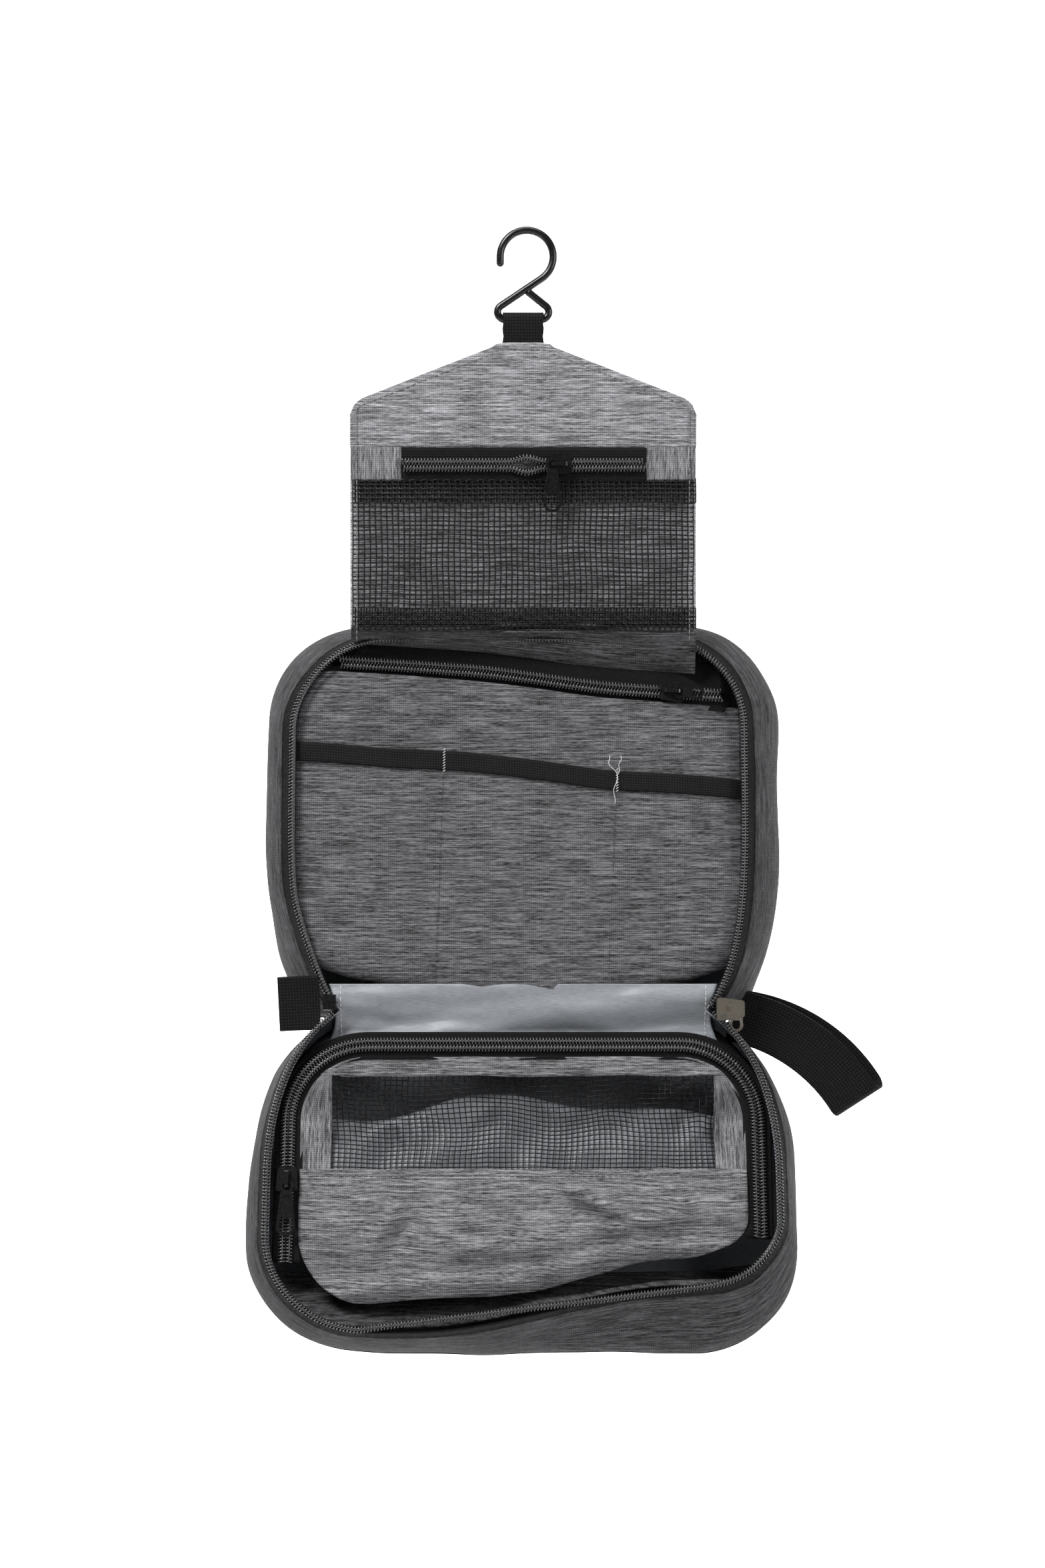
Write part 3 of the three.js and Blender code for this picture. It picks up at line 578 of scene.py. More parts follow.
def flap_sheet(name, z_low, y, material, nv=30, puff=0.0):
    def point(s, t):
        x = (s * 2 - 1) * FLAP_HALF
        top = flap_top(x)
        z = z_low + (top - z_low) * t
        edge = min(1.0, min(s, 1 - s) * 2 * FLAP_HALF / 7, (t + 0.02) * abs(top - z_low) / 6,
                   (1.02 - t) * abs(top - z_low) / 6)
        return Vector((x, y + flap_wave(x, z) - puff * math.sin(edge * math.pi / 2), z)) * MM
    return sheet(name, point, 90, nv, material, 1.0, "flat")


def net(name, point, across, down, material, thread=0.36, weave=0.22):
    """Square netting on the surface point(s, t): thread counts each way, passing over and under."""
    bundle = Bundle()
    out = Vector((0, -1, 0))
    for i in range(across + 1):
        line = []
        for j in range(down * 2 + 1):
            over = math.cos(math.pi * j / 2 + math.pi * i) * weave
            line.append(point(i / across, j / (down * 2)) + out * over * MM)
        bundle.add(tube(line, thread, 5))
    for j in range(down + 1):
        line = []
        for i in range(across * 2 + 1):
            over = -math.cos(math.pi * i / 2 + math.pi * j) * weave
            line.append(point(i / (across * 2), j / down) + out * over * MM)
        bundle.add(tube(line, thread, 5))
    return bundle.build(name, material)


def make_flap():
    # The cloth behind the net takes a lit copy of the heather, painted light against the net's shade, and the
    # top cloth the lit flap copy, painted light on the flap.
    back = flap_sheet("flap_back_cloth", MESH_END - 1, 0.6, HEATHER_LIT_BEHIND_NET, nv=70)
    ride_as(back, "flap", "grey_heather", "flap_back_panel")
    top = flap_sheet("flap_top_cloth", SEAM, -1.9, HEATHER_LIT_FLAP, puff=0.9)
    ride_as(top, "flap", "grey_heather", "flap_top_panel")
    for side, node in ((-1, "flap_tab_left"), (1, "flap_tab_right")):
        low, high = box_mm(node)

        def point(s, t, low=low, high=high):
            x = low[0] + (high[0] - low[0]) * s
            z = low[2] + (high[2] - low[2] + 0.4) * t
            bow = math.sin(math.pi * t) * 0.4
            return Vector((x, -2.2 - bow + flap_wave(x, z), z)) * MM
        tab = sheet(f"flap_tab_cloth_{'left' if side < 0 else 'right'}", point, 16, 14, HEATHER_HALF_SHADED_LID, 0.9, "v")
        ride_as(tab, "flap", "grey_heather", node)
    side_half = box_mm("flap_mesh")[1][0] + 1.2
    tall = BAND - MESH_END

    def mesh_point(s, t):
        x = (s * 2 - 1) * side_half
        z = BAND + 0.5 - t * (tall + 1)
        droop = wobble((x, 0, z), 1.2, 22, 1.3) * math.sin(math.pi * t)
        return Vector((x + wobble((x, 0, z), 0.9, 26, 9.0) * math.sin(math.pi * t),
                       -2.6 - 0.6 * math.sin(math.pi * t) + flap_wave(x, z),
                       z + droop * 0.8)) * MM
    ride_as(net("flap_net", mesh_point, 60, 33, NET), "flap", "black_mesh", "flap_mesh")
    for name, t0, t1, rows in (("flap_net_fold_top", 0.0, 0.16, 6), ("flap_net_fold_base", 0.86, 1.0, 5)):
        def fold_point(s, t, t0=t0, t1=t1):
            p = mesh_point(s, t0 + (t1 - t0) * t)
            return p + Vector((0.0011, 0.0011, 0.0009))
        ride_as(net(name, fold_point, 60, rows, NET), "flap", "black_mesh")


def make_flap_zip():
    low, high = box_mm("flap_coil_upper")
    centre_z = (box_mm("flap_coil_lower")[0][2] + high[2]) / 2
    y = (low[1] + high[1]) / 2
    x0, x1 = low[0], high[0]
    slider = box_mm("flap_slider_body")
    lens_to = slider[0][0] - 1.9
    lens_from = lens_to - 16.2

    def lens(x):
        k = (x - lens_from) / (lens_to - lens_from)
        return 1.9 * math.sin(math.pi * k) ** 2 if 0 < k < 1 else 0.0
    bundle = Bundle()
    for sign in (1, -1):
        shift = 0.0 if sign > 0 else 0.75
        line = [Vector((x, y, centre_z + sign * (1.55 + lens(x)))) * MM
                for x in np.linspace(x0 + shift, x1 + shift - 0.75, 160)]
        coil_row(bundle, line, Vector((0, -1, 0)), sign, half_width=1.6)
    ride_as(bundle.build("flap_zip_coils", COIL), "flap", "black_coil", "flap_coil_upper", "flap_coil_lower")
    for sign, node in ((1, "flap_zip_tape_upper"), (-1, "flap_zip_tape_lower")):
        t_low, t_high = box_mm(node)
        outer = t_high[2] if sign > 0 else t_low[2]

        def point(s, t, sign=sign, outer=outer):
            x = x0 - 1 + (x1 - x0 + 2) * s
            inner = centre_z + sign * (1.5 + lens(x))
            z = inner + (outer - inner) * t
            return Vector((x, -2.6 + 0.1 * math.sin(x * 0.3), z)) * MM
        piece = sheet(f"flap_tape_{'upper' if sign > 0 else 'lower'}", point, 100, 6, TAPE, 0.5)
        ride_as(piece, "flap", "black_webbing", node)


def flap_stitching():
    bundle = Bundle()
    out = Vector((0, -1, 0))
    edge = 3.2
    xs = np.linspace(-FLAP_HALF + edge, FLAP_HALF - edge, 200)

    def face(x, z, y):
        return Vector((x, y + flap_wave(x, z), z)) * MM
    stitches(bundle, [face(x, flap_top(x) - edge, -3.1) for x in xs], out)
    for side in (-1, 1):
        x = side * (FLAP_HALF - edge)
        zs = np.linspace(flap_top(x) - edge, FLAP_BASE + 3, 140)
        stitches(bundle, [face(x, z, -3.3) for z in zs], out)
    ride_as(bundle.build("flap_stitching", THREAD), "flap", "grey_heather")


def make_hem():
    """The flap's lower strip, which curls in behind the rim and is sewn to the upper half."""
    def point(s, t):
        x = (s * 2 - 1) * (FLAP_HALF - 0.4)
        k = x / FLAP_HALF
        middle = math.exp(-((x - 12) / 26) ** 2)
        end = UPPER.at(x, 3, zip_line(x) + 9.5).z * 1000
        z = MESH_END + 1.0 + 3.0 * middle * (1 - t)
        z -= t * (z - end)
        curl = 12.0 * t ** 1.5 + 5.0 * middle * math.sin(math.pi * min(1.0, t * 1.3)) ** 2
        curl -= 6.5 * max(0.0, abs(k) - 0.9) / 0.1 * t
        ripple = wobble((x, 0, z), 2.0, 30, 5.0) * math.sin(math.pi * t)
        return Vector((x, -2.3 + curl + ripple, z)) * MM
    # The hem takes the shaded wall copy of the heather: painted shade where it curls in under the flap.
    piece = sheet("flap_hem_cloth", point, 100, 24, HEATHER_SHADED_WALL, 0.8)
    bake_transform(piece)
    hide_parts("flap_hem")


# ---- halves
def wall_point(half, bulge, seed):
    rim = half.outline(0.0)
    open_points = len(rim) - 1
    spine = [(half.waist * (1 - 2 * i / 12), 0.0) for i in range(1, 12)]
    loop = rim + spine
    pts = np.array(loop + [loop[0]])
    run = np.concatenate([[0], np.cumsum(np.linalg.norm(np.diff(pts, axis=0), axis=1))])

    def point(s, d, inset=0.0):
        r = s * run[-1]
        u, v = np.interp(r, run, pts[:, 0]), np.interp(r, run, pts[:, 1])
        k = d / half.depth
        shrink = 1 - inset / half.half_width
        u, _, v2 = half.lean(u * shrink, d, v)
        puff = bulge * math.sin(math.pi * min(max(k, 0), 1)) * min(1.0, v / 25)
        length = math.hypot(u, v - half.height * 0.5) + 1e-6
        u += puff * u / length
        v2 += puff * (v - half.height * 0.5) / length
        p = half.at(u, d, v2)
        w = wobble(p * 1000, 1.6, 34, seed) * min(1.0, max(k, 0.0) * 3) * min(1.0, v / 14)
        return p + Vector((u, 0, (v - half.height / 2) * half.away)).normalized() * (w * MM)
    return point, run[open_points] / run[-1]


def make_half(half, seed):
    name = half.name
    point, share = wall_point(half, 2.0, seed)
    tape_end = 6.2

    def rim(s, t):
        return point(s * share, 0.3 + t * (tape_end - 0.3))
    tape = sheet(f"{name}_rim_tape", rim, 220, 4, TAPE, 0.7)
    ride_as(tape, name, "black_webbing", f"{name}_zip_tape")
    back = half.depth

    def wall(s, t):
        hidden = ease(s, share, share + 0.012) * (1 - ease(s, 0.988, 1.0))
        start = tape_end - 0.4 + 11.0 * hidden
        return point(s, start + t * (back + 0.8 - start))
    gusset = sheet(f"{name}_wall_cloth", wall, 240, 22, HEATHER_SHADED_WALL, 1.1)
    ride_as(gusset, name, "grey_heather", f"{name}_gusset")

    def back_point(s, t):
        v = t * half.height
        w = half.width_at(min(v, half.height - 0.02))
        u = (s * 2 - 1) * w
        u, _, v2 = half.lean(u, back, v)
        edge = min(1.0, min(s, 1 - s) * 2 * w / 12, v / 12, (half.height - v) / 12)
        dome = 1.8 * math.sin(max(edge, 0) * math.pi / 2)
        p = half.at(u, back + 0.4 + dome, v2)
        return p + Vector((0, wobble(p * 1000, 0.9, 45, seed + 2) * max(edge, 0) * MM, 0))
    panel = sheet(f"{name}_back_cloth", back_point, 80, 60, HEATHER_SHADED_WALL, 1.2, "flat")
    ride_as(panel, name, "grey_heather", f"{name}_back_panel")
    piping = Bundle()
    line = [point(s, back + 0.4) for s in np.linspace(0, 1, 261)]
    piping.add(tube(line, 1.1, 8))
    piece = piping.build(f"{name}_back_piping", TAPE)
    piece.data.uv_layers.new(name="grain")
    ride_as(piece, name, "black_webbing")

    def inner(s, t):
        return point(s * share, 1.2 + t * (back - 2.4), inset=2.6)
    lining = sheet(f"{name}_lining_wall", inner, 200, 14, SATIN, 0.4)
    ride_as(lining, name, "grey_satin", f"{name}_lining")

    def floor(s, t):
        v = 2.8 + t * (half.height - 5.6)
        w = half.width_at(v, 2.8)
        u, _, v2 = half.lean((s * 2 - 1) * w, back - 2, v)
        return half.at(u, back - 1.6, v2)
    ride_as(sheet(f"{name}_lining_floor", floor, 40, 30, SATIN, 0.4), name, "grey_satin")
    coils = Bundle()
    rim = [half.at(u, -1.2, v) for u, v in half.outline(0.8) if v > 0.5]
    front = half.at(0, -1, 0) - half.at(0, 0, 0)
    coil_row(coils, rim, front.normalized(), half.away, half_width=1.35, height=0.95)
    ride_as(coils.build(f"{name}_main_coil", COIL), name, "black_coil", f"{name}_coil")


# ---- pockets of the upper half
PANEL_RECESS = 4.6
ZIP_V = 154.0
SLOPE = math.tan(math.atan2(-JOINTS["pocket_zip_slide"]["axis"][2] / math.cos(UPPER_TILT),
                            JOINTS["pocket_zip_slide"]["axis"][0]))
SLIP_TOP = 114.5
ELASTIC_TALL = 9.0
STITCH_U = (-37.0, 44.0)


def slip_bulge(u, v):
    """How far the slip pockets stand forward: slack between their stitch lines."""
    lines = [-98.0, *STITCH_U, 98.0]
    for a, b in zip(lines, lines[1:]):
        if a <= u <= b:
            k = (u - a) / (b - a)
            return 1.4 * math.sin(math.pi * k) * (0.35 + 0.65 * v / SLIP_TOP)
    return 0.0


def pocket_base(u):
    """The pockets' lower edge: it bows down towards the middle."""
    return 4.5 + 16.0 * min(1.0, abs(u) / 92) ** 2.6


def pocket_surface(u, v):
    edge = min(1.0, (UPPER.width_at(v) - 1.5 - abs(u)) / 16, max(v - pocket_base(u), 0) / 14)
    dome = 2.6 * math.sin(max(edge, 0.0) * math.pi / 2)
    p = (u, 0.0, v)
    return PANEL_RECESS + 1.4 - dome + wobble(p, 2.6, 42, 4.0) + wobble(p, 0.9, 16, 8.0)


def make_pockets():
    half = UPPER
    edge_gap = 1.3

    def spot(s, t, top):
        v = 12 + t * (top - 12)
        w = half.width_at(v) - edge_gap
        u = (s * 2 - 1) * w
        low_v = pocket_base(u)
        v = low_v + t * (top - low_v) + (zip_line(u) - ZIP_V) * t
        w = half.width_at(min(max(v, 0.5), half.height - 1)) - edge_gap
        return (s * 2 - 1) * w, v

    def panel(s, t):
        u, v = spot(s, t, ZIP_V - 5.0)
        tuck = 3.0 * max(0.0, 1 - t * 30)
        return half.at(u, pocket_surface(u, v) + tuck, v)
    piece = sheet("pocket_cloth", panel, 110, 80, HEATHER_SHADED_POCKET, 0.8, "flat")
    ride_as(piece, "upper", "grey_heather", "pocket_panel")

    def slip(s, t):
        u, v = spot(s, t, SLIP_TOP - ELASTIC_TALL / 2)
        tuck = 3.0 * max(0.0, 1 - t * 25)
        return half.at(u, pocket_surface(u, v) - 1.1 - slip_bulge(u, v) + tuck, v)
    piece = sheet("slip_pocket_cloth", slip, 120, 60, HEATHER_SHADED_POCKET, 0.8, "flat")
    ride_as(piece, "upper", "grey_heather", "slip_pocket_panel")

    def band(s, t):
        w = half.width_at(SLIP_TOP) - 1.0
        u = (s * 2 - 1) * w
        v = SLIP_TOP - ELASTIC_TALL * (1 - t) + (zip_line(u) - ZIP_V) + wobble((u, 0, 0), 0.8, 40, 6.0)
        return half.at(u, pocket_surface(u, v) - 2.2 - slip_bulge(u, v), v)
    piece = sheet("elastic_cloth", band, 140, 8, ELASTIC, 1.2)
    ride_as(piece, "upper", "black_webbing", "elastic_band")
    make_pocket_zip()
    make_pocket_threads()


def zip_line(u):
    """Height of the inner pocket's zip: it rises to the left of its slider."""
    k = min(max((50.0 - u) / 80.0, 0.0), 1.0)
    return ZIP_V - SLOPE * u + 4.2 * k * k * (3 - 2 * k)


def make_pocket_zip():
    half = UPPER
    for sign, node in ((1, "pocket_zip_tape_upper"), (-1, "pocket_zip_tape_lower")):
        far = 20.0 if sign > 0 else 6.0

        def tape(s, t, sign=sign, far=far):
            w = half.width_at(ZIP_V + 3) - 1.4
            u = (s * 2 - 1) * w
            v = min(zip_line(u) + sign * (1.4 + t * far), half.height - 2.5)
            u = math.copysign(min(abs(u), half.width_at(v) - 1.4), u)
            return half.at(u, PANEL_RECESS + 0.3 + (0.0 if sign < 0 else 1.5 * t), v)
        piece = sheet(f"pocket_tape_{'upper' if sign > 0 else 'lower'}", tape, 90, 8, TAPE, 0.5)
        ride_as(piece, "upper", "black_webbing", node)
    coils = Bundle()
    front = (half.at(0, -1, 0) - half.at(0, 0, 0)).normalized()
    for sign in (1, -1):
        shift = 0.0 if sign > 0 else 0.75
        line = [half.at(u + shift, PANEL_RECESS - 1.4, zip_line(u) + sign * 1.55)
                for u in np.linspace(-85, 93, 200)]
        coil_row(coils, line, front, sign, half_width=1.6)
    piece = coils.build("pocket_zip_coils", COIL)
    ride_as(piece, "upper", "black_coil", "pocket_coil_upper", "pocket_coil_lower")


def make_pocket_threads():
    """Light bartacks on the elastic, faint stitch lines below them and two loose thread ends."""
    half = UPPER
    front = (half.at(0, -1, 0) - half.at(0, 0, 0)).normalized()
    tacks, lines = Bundle(), Bundle()
    for k, u in enumerate(STITCH_U):
        top = SLIP_TOP + zip_line(u) - ZIP_V
        for i in range(9):
            v0 = top - ELASTIC_TALL - 0.8 + i * 1.25
            d = pocket_surface(u, v0) - 3.2 - slip_bulge(u, v0)
            a, b = half.at(u - 0.5, d, v0), half.at(u + 0.5, d - 0.1, v0 + 0.8)
            tacks.add(tube([a, (a + b) / 2 + front * 0.0002, b], 0.2, 5))
        drift = -4.0 if k == 0 else -5.0
        seam = [half.at(u + drift * (1 - v / top), pocket_surface(u, v) - 1.75 - slip_bulge(u, v), v)
                for v in np.linspace(pocket_base(u) + 3, top - ELASTIC_TALL - 1, 120)]
        stitches(lines, seam, front, length=2.0, gap=1.2, radius=0.16, lift=0.0)
    u, top = STITCH_U[1], SLIP_TOP + zip_line(STITCH_U[1]) - ZIP_V
    base = pocket_surface(u, top) - 4.0
    for sweep in ((-4, 2), (1.5, 5), (-1.5, -3)):
        end = top + (9 if sweep[1] > 0 else -14)
        line = []
        for t in np.linspace(0, 1, 18):
            across = u + sweep[0] * math.sin(t * 1.9) + 0.5 * math.sin(9 * t)
            line.append(half.at(across, base - 1.2 * math.sin(3 * t), top - 2 + (end - top) * t))
        tacks.add(tube(line, 0.15, 5))
    ride_as(tacks.build("pocket_bartacks", LIGHT_THREAD), "upper", "grey_heather")
    ride_as(lines.build("slip_pocket_stitching", DARK_THREAD), "upper", "grey_heather")


# ---- spine
def make_spine():
    """One satin sheet from the upper half's pockets to the lower half's lid, with soft cross folds."""
    reach_up, reach_down = 12.0, 13.4
    split = reach_up / (reach_up + reach_down)

    def place(u, t, lift=0.0):
        hang = math.sin(math.pi * min(max(t, 0.0), 1.0)) ** 0.7
        lobes = math.sin(t * 8.2 + u * 0.030 + 1.1 * math.sin(u * 0.021))
        crease = t - 0.72 - 0.07 * math.sin(u * 0.05)
        depth = 1.4 + 6.2 * ease(t, 0, 1) + 3.6 * math.exp(-(crease / 0.2) ** 2)
        rumple = wobble((u, 0, t * 60), 3.0, 34, 2.4) + wobble((u, 0, t * 60), 1.0, 12, 5.0)
        depth += (2.0 * lobes + rumple) * hang
        above = UPPER.at(u, depth - lift, reach_up * (1 - t / split))
        below = LOWER.at(u, depth - lift, reach_down * (t - split) / (1 - split))
        return above.lerp(below, ease(t, split - 0.3, split + 0.3))

    def point(s, t):
        wide = WAIST + 4.0 - 3.0 * math.sin(math.pi * t)
        return place((s * 2 - 1) * wide, t)
    piece = sheet("spine_satin", point, 150, 50, SATIN, 0.4)
    hinge = Vector(JOINTS["bag_fold"]["pos_m"])
    up, down = UPPER.at(0, 0, 6) - UPPER.at(0, 0, 0), LOWER.at(0, 0, 6) - LOWER.at(0, 0, 0)
    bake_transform(piece)
    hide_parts("upper_spine_strip", "lower_spine_strip")
    seams = Bundle()
    front = Vector((0, -1, 0))
    for side in (-1, 1):
        line = [place(side * (WAIST - 1.5), t, 0.3) for t in np.linspace(0.03, 0.97, 90)]
        stitches(seams, line, front, length=2.0, gap=1.0, radius=0.22)
    seam = seams.build("spine_side_stitching", LIGHT_THREAD)
    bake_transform(seam)


# ---- lid of the lower half
LID_TOP, LID_BASE, LID_MESH_END, LID_RECESS = 21.0, 134.0, 73.0, 6.0
LID_HALF = box_mm("lid_frame")[1][0]
LID_CORNER = 30.0


def lid_width(v, offset=0.0):
    w, r = LID_HALF + offset, LID_CORNER + offset
    top, base, base_r = LID_TOP - offset, LID_BASE + offset, 34.0 + offset
    if v < top + r:
        return w - r + math.sqrt(max(0.0, r * r - (top + r - v) ** 2))
    if v > base - base_r:
        return w - base_r + math.sqrt(max(0.0, base_r ** 2 - (v - base + base_r) ** 2))
    return w


def fold(u, v, place, angle, wide, tall, reach):
    """One crease of cloth: a ridge through place, at an angle in degrees, that fades past its reach."""
    a = math.radians(angle)
    du, dv = u - place[0], v - place[1]
    along, across = du * math.cos(a) + dv * math.sin(a), dv * math.cos(a) - du * math.sin(a)
    return tall * math.exp(-(across / wide) ** 2) * math.exp(-(along / reach) ** 2)


LID_FOLDS = (
    # place (u, v), angle, width, height, reach
    ((34, 92), 38, 3.2, -2.6, 26), ((30, 96), 38, 4.0, 2.0, 26), ((-62, 96), -58, 4.5, -3.2, 18),
    ((-52, 100), -55, 4.0, 2.6, 16), ((70, 88), 64, 4.5, -2.4, 16), ((-20, 112), 8, 5.0, -3.0, 30),
    ((55, 108), -12, 5.0, -2.6, 24), ((0, 84), 4, 6.0, -1.6, 50), ((-80, 84), 22, 3.5, -2.2, 12),
    ((-84, 40), 62, 3.0, -3.4, 12), ((-76, 34), 30, 3.0, 2.8, 12), ((84, 44), -60, 3.4, -4.2, 13),
    ((76, 34), -28, 3.0, -3.6, 12), ((88, 56), 80, 3.0, 2.4, 10), ((-58, 48), 68, 2.6, -1.8, 14),
)


def lid_depth(u, v):
    """The lid's surface: slack net that sags in, a fuller lower panel with creases."""
    k = (v - LID_TOP) / (LID_BASE - LID_TOP)
    edge = min(1.0, (lid_width(v) - abs(u)) / 16, (v - LID_TOP + 1) / 12)
    edge = math.sin(max(edge, 0.0) * math.pi / 2)
    sag = 6.0 * math.exp(-((k - 0.26) / 0.17) ** 2) * edge
    belly = -5.0 * math.exp(-((k - 0.74) / 0.2) ** 2) * edge
    p = (u, 0.0, v)
    rumple = (wobble(p, 4.2, 34, 3.3) + wobble(p, 2.2, 15, 6.1)) * (0.35 + 0.65 * edge)
    creases = 1.5 * sum(fold(u, v, *each) for each in LID_FOLDS)
    return LID_RECESS + 0.6 + sag + belly + rumple + creases * (0.45 + 0.55 * edge)


def make_lid():
    half = LOWER
    strip = 14.0

    def on(u, v, lift=0.0):
        return half.at(u, lid_depth(u, v) - lift, v)
    for side in (-1, 1):
        def side_strip(s, t, side=side):
            v = LID_TOP + 2 + t * (LID_MESH_END + 4 - LID_TOP - 2)
            outer = lid_width(v)
            inner = min(outer - 4, LID_HALF - strip)
            return on(side * (inner + (outer - inner) * s), v, 0.5)
        name = f"lid_side_strip_{'left' if side < 0 else 'right'}"
        piece = sheet(name, side_strip, 14, 40, HEATHER_HALF_SHADED_LID, 0.8, "v")
        ride_as(piece, "lid", "grey_heather", *(["lid_frame"] if side < 0 else []))

    def top_strip(s, t):
        v0 = LID_TOP + t * 8.5
        u = (s * 2 - 1) * lid_width(v0 + 0.2)
        return on(u, v0, 0.9)
    ride_as(sheet("lid_top_strip", top_strip, 110, 8, HEATHER_HALF_SHADED_LID, 0.8, "flat"), "lid", "grey_heather")

    def panel(s, t):
        v = LID_MESH_END + t * (LID_BASE - LID_MESH_END)
        u = (s * 2 - 1) * lid_width(v)
        lip = 6.5 * math.exp(-((t - 0.90) / 0.08) ** 2) * (1 - (u / LID_HALF) ** 2 * 0.5)
        return on(u, v + 2.0 * math.sin(u * 0.06 + 1) * t, 0.9 + lip)
    piece = sheet("lid_panel_cloth", panel, 120, 70, HEATHER_HALF_SHADED_LID, 0.8, "flat")
    ride_as(piece, "lid", "grey_heather", "lid_panel")
    net_half = LID_HALF - strip + 2

    def window(s, t):
        v = LID_TOP + 6 + t * (LID_MESH_END - LID_TOP - 5)
        u = (s * 2 - 1) * net_half
        u += wobble((u, 0, v), 2.4, 30, 5.5) * math.sin(math.pi * t)
        v += wobble((u, 0, v), 2.2, 24, 1.9) * math.sin(math.pi * t)
        return on(u, v)
    ride_as(net("lid_net", window, 68, 22, NET, 0.27, 0.15), "lid", "black_mesh", "lid_mesh")

    def skirt(s, t):
        v = LID_BASE - 16 + t * (half.height - LID_BASE + 13.5)
        w = half.width_at(v) - 2.0
        u = (s * 2 - 1) * w
        k = abs(u) / w
        depth = 28 - 25.5 * t ** 1.7 - 9 * max(0.0, k - 0.75) / 0.25 * (1 - t)
        return half.at(u, depth + wobble((u, 0, v), 1.8, 24, 2.2), v)
    # The cloth in the gap below the lid takes the shaded wall copy of the heather: painted shade for the dark
    # recess.
    ride_as(sheet("lower_base_cloth", skirt, 110, 20, HEATHER_SHADED_WALL, 0.8, "flat"), "lower", "grey_heather")

    def pouch(s, t):
        u = (s * 2 - 1) * (net_half + 3)
        top = 47 - 10 * math.exp(-(u / 46) ** 2) + 3 * math.sin(u * 0.07)
        v = top + t * (LID_MESH_END + 6 - top)
        back = 17 - 8.0 * t ** 0.7 + wobble((u, 0, v), 3.4, 26, 7.2)
        return half.at(u, max(back, lid_depth(u, v) + 2.0), v)
    ride_as(sheet("lower_pouch_lining", pouch, 90, 30, SHADED_SATIN, 0.4), "lower", "grey_satin")
    hem = Bundle()
    front = (half.at(0, -1, 0) - half.at(0, 0, 0)).normalized()
    line = [on(u, LID_MESH_END + 3.0 + 2.0 * math.sin(u * 0.06 + 1) * 0.05, 1.5)
            for u in np.linspace(-LID_HALF + 4, LID_HALF - 4, 160)]
    stitches(hem, line, front, radius=0.2)
    ride_as(hem.build("lid_stitching", THREAD), "lid", "grey_heather")


def lid_line(offset, depth, low=LID_BASE - 18):
    """Points along the lid's zip, from the left side's lower end round the top to the right one."""
    w, r, top = LID_HALF + offset, LID_CORNER + offset, LID_TOP - offset
    pts = [(-w, low), (-w, (low + top + r) / 2)]
    pts += arc(-w + r, top + r, r, 180, 270, 16)
    pts += arc(w - r, top + r, r, 270, 360, 16)
    pts += [(w, (low + top + r) / 2), (w, low)]
    return [LOWER.at(u, depth, v) for u, v in pts]


def make_lid_zip():
    coil_half = 1.51
    inner = box_mm("lid_coil_inner")[1][0] - LID_HALF - coil_half
    outer = box_mm("lid_coil_outer")[1][0] - LID_HALF - coil_half
    front = (LOWER.at(0, -1, 0) - LOWER.at(0, 0, 0)).normalized()
    for name, body, offset, sign, edges in (("outer", "lower", outer, 1, (outer - 1, outer + 4.6)),
                                            ("inner", "lid", inner, -1, (inner + 1, -1.2))):
        coils = Bundle()
        coil_row(coils, resample(lid_line(offset, LID_RECESS - 1.4), 1.0), front, sign, half_width=1.6)
        ride_as(coils.build(f"lid_coil_{name}_row", COIL), body, "black_coil", f"lid_coil_{name}")
        lines = [resample(lid_line(e, LID_RECESS + 0.2), 2.0) for e in edges]
        count = min(map(len, lines)) - 1

        def tape(s, t, lines=lines):
            points = []
            for line in lines:
                x = s * (len(line) - 1)
                i = min(int(x), len(line) - 2)
                points.append(line[i].lerp(line[i + 1], x - i))
            return points[0].lerp(points[1], t)
        piece = sheet(f"lid_tape_{name}", tape, count, 5, TAPE, 0.5)
        ride_as(piece, body, "black_webbing", f"lid_zip_tape_{name}")


# ---- webbing handle and tab
def webbing_loop(name, root, spine_line, width, gap, pinch, shift, node):
    """Webbing folded into a loop: spine_line(a) gives (place, length direction) in mm, a from 0 to 1.

    The two layers stand gap apart, pinched together at the root; shift raises the rear one towards the end.
    """
    front = Vector((0, -1, 0))
    radius = gap / 2 + 0.55
    bend = 0.12

    def point(s, t):
        if t < 0.5 - bend / 2:
            a, n = t / (0.5 - bend / 2), 1.0
        elif t > 0.5 + bend / 2:
            a, n = (1 - t) / (0.5 - bend / 2), -1.0
        else:
            turn = (t - 0.5 + bend / 2) / bend * math.pi
            a, n = 1.0, math.cos(turn)
        place, along = spine_line(a)
        across = Vector((-along.z, 0, along.x))
        tip = along * (radius * math.sqrt(max(0.0, 1 - n * n))) if a >= 1.0 else Vector()
        apart = radius * (pinch + (1 - pinch) * min(1.0, a * 1.6)) * n
        sway = wobble((place.x, 0, place.z), 1.0, 24, 1.1)
        rise = shift * (1 - n) / 2 * math.sin(min(a, 1.0) * math.pi / 2)
        offset = (s * 2 - 1) * width / 2
        cup = 1.4 * (s * 2 - 1) ** 2 * (1 - a)
        return (root + place + tip + across * (offset + rise) + front * (apart + sway + cup)) * MM
    piece = sheet(name, point, 28, 150, WEBBING, 1.1, "v")
    ride_as(piece, "upper", "black_webbing", node)


def bowed(length, start, end):
    """A line that turns evenly from one slope to another, in degrees below the horizontal."""
    steps = 60
    places, directions = [Vector()], []
    for i in range(steps + 1):
        angle = math.radians(start + (end - start) * i / steps)
        directions.append(Vector((math.cos(angle), 0, -math.sin(angle))))
        places.append(places[-1] + directions[-1] * (length / steps))

    def at(a):
        x = min(max(a, 0.0), 1.0) * steps
        i = min(int(x), steps - 1)
        return places[i].lerp(places[i + 1], x - i), directions[i]
    return at


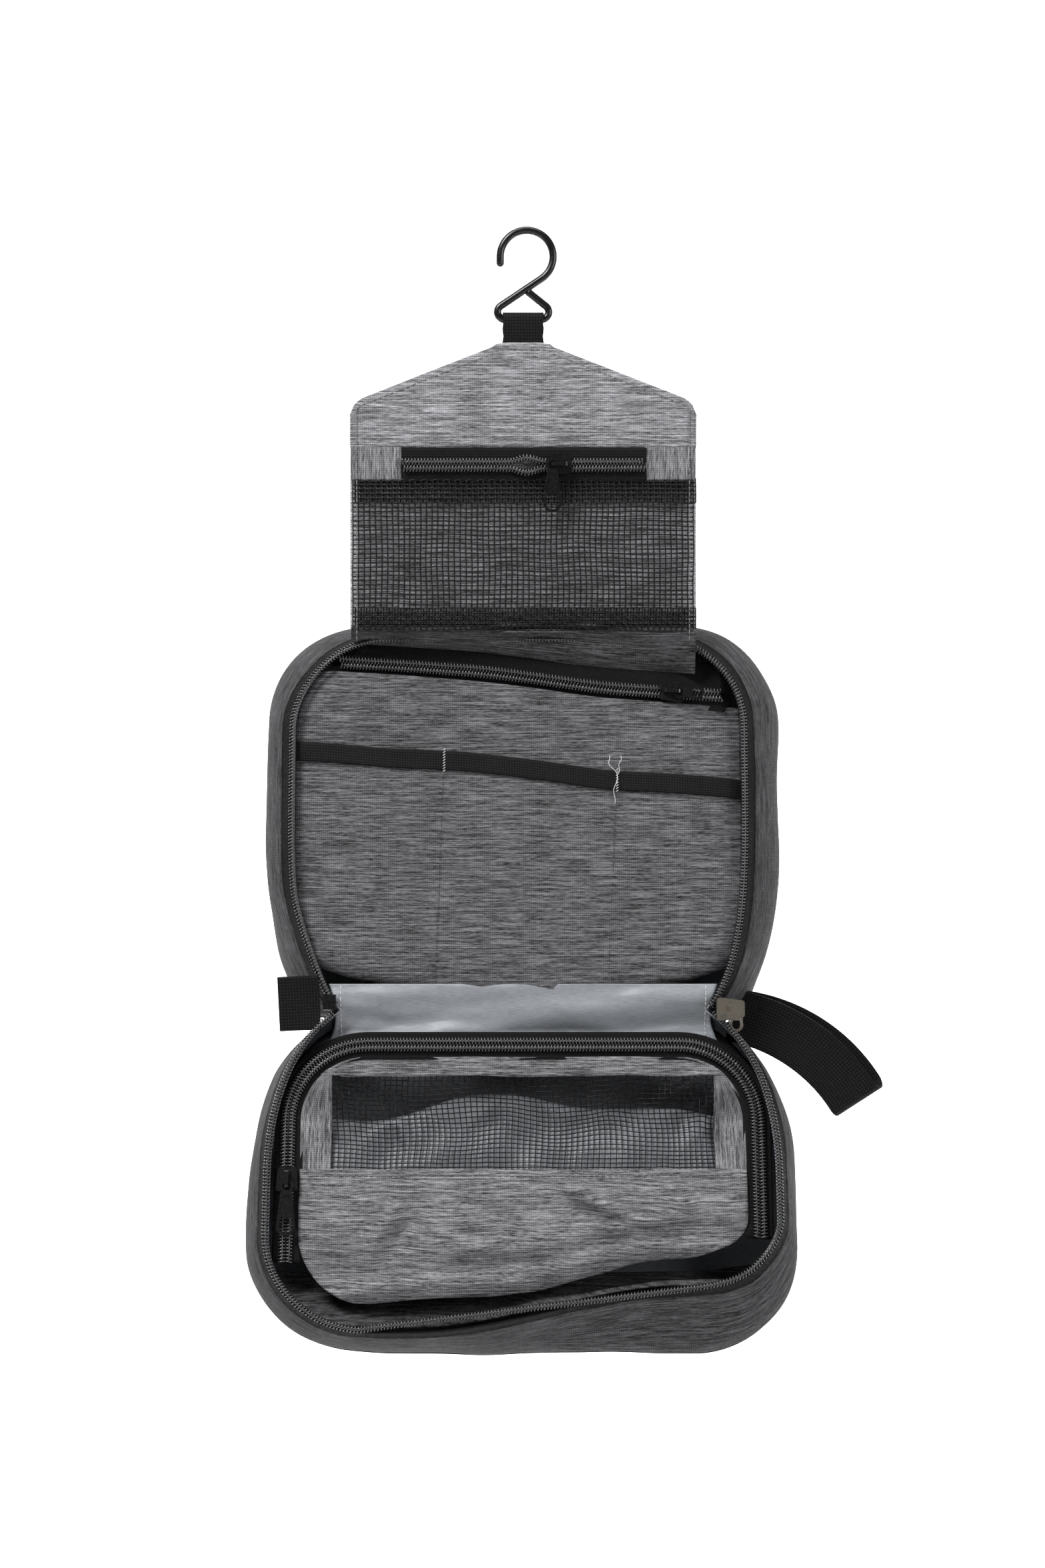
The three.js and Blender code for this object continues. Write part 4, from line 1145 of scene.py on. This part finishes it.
def make_straps():
    low, high = box_mm("handle_strap")
    middle = (low[1] + high[1]) / 2
    root = Vector((low[0] - 7.5, middle, high[2] - 9.5))
    webbing_loop("handle_webbing", root, bowed(71, 10, 58), 24.5, 7, 0.12, 4.2, "handle_strap")
    low, high = box_mm("side_tab")
    root = Vector((high[0] + 4, (low[1] + high[1]) / 2, (low[2] + high[2]) / 2))

    def leftward(a):
        return Vector((-a * (high[0] - low[0] + 3.4), 0, -a * 0.8)), Vector((-1, 0, -0.05)).normalized()
    webbing_loop("tab_webbing", root, leftward, 25, 1.2, 1.0, 0.0, "side_tab")


# ---- CAD pieces that stay
def finish_cad():
    for name, piece in frame["nodes"].items():
        if "slider" in name or "pull_tab" in name or name == "zip_bottom_stop":
            material = NICKEL if name.startswith("main_") else PLASTIC
            piece.data.materials.clear()
            piece.data.materials.append(material)


def declare_sheets():
    """Goes over every cloth and the size it was cut to, measured along its own surface, skipping narrow
    strips; it does nothing with them.
    """
    narrow = 0.01
    for name, (piece, wide, long, area) in FLAT.items():
        if min(wide, long) < narrow:
            continue


# ---- stage
def make_stage():
    white = plain_plastic("pale_backdrop", 0.86, 0.9, 0.3, 3)
    reach, back, floor, bend = 3.0, 1.1, -0.80, 0.5
    profile = [(-3.0, floor), (back - bend, floor)]
    profile += [(back - bend + bend * math.sin(a), floor + bend - bend * math.cos(a))
                for a in np.linspace(0.1, math.pi / 2, 14)]
    profile += [(back, 2.5)]
    verts = [(x, y, z) for y, z in profile for x in (-reach, reach)]
    faces = [(2 * i, 2 * i + 1, 2 * i + 3, 2 * i + 2) for i in range(len(profile) - 1)]
    piece = make_mesh("backdrop", verts, faces, white)

    def light(name, place, aim, size, power):
        data = bpy.data.lights.new(name, "AREA")
        data.shape = "RECTANGLE"
        data.size, data.size_y = size
        data.energy = power
        lamp = bpy.data.objects.new(name, data)
        lamp.location = place
        lamp.rotation_euler = (Vector(aim) - Vector(place)).to_track_quat("-Z", "Y").to_euler()
        bpy.context.scene.collection.objects.link(lamp)
    light("key", (-0.75, -0.95, 0.95), (0, 0, -0.2), (0.55, 0.55), 34)
    light("fill", (1.3, -0.9, 0.1), (0, 0, -0.3), (0.8, 0.8), 14)
    light("top", (0, -0.3, 1.2), (0, 0, -0.3), (1.0, 0.6), 12)
    light("backdrop_left", (-0.8, 0.25, -0.1), (-0.8, 1.1, -0.1), (0.6, 1.8), 34)
    light("backdrop_right", (0.8, 0.25, -0.1), (0.8, 1.1, -0.1), (0.6, 1.8), 34)
    world = bpy.data.worlds.new("studio")
    world.use_nodes = True
    world.node_tree.nodes["Background"].inputs["Color"].default_value = (1, 1, 1, 1)
    world.node_tree.nodes["Background"].inputs["Strength"].default_value = 0.12
    bpy.context.scene.world = world
    bpy.context.scene.view_settings.view_transform = "Standard"


def make_camera():
    distance = 1.3
    frame_tall = 0.735
    sensor = 36
    data = bpy.data.cameras.new("camera")
    data.sensor_width = sensor
    data.lens = sensor * distance / frame_tall
    camera = bpy.data.objects.new("camera", data)
    camera.location = (-0.0003, -distance, -0.2577)
    camera.rotation_euler = (math.pi / 2, 0, 0)
    bpy.context.scene.collection.objects.link(camera)
    bpy.context.scene.camera = camera


make_camera()
make_stage()
make_hook()
make_hook_loop()
make_flap()
make_flap_zip()
flap_stitching()
make_hem()
make_half(UPPER, 11.0)
make_half(LOWER, 23.0)
make_pockets()
make_spine()
make_lid()
make_lid_zip()
make_straps()
finish_cad()
declare_sheets()
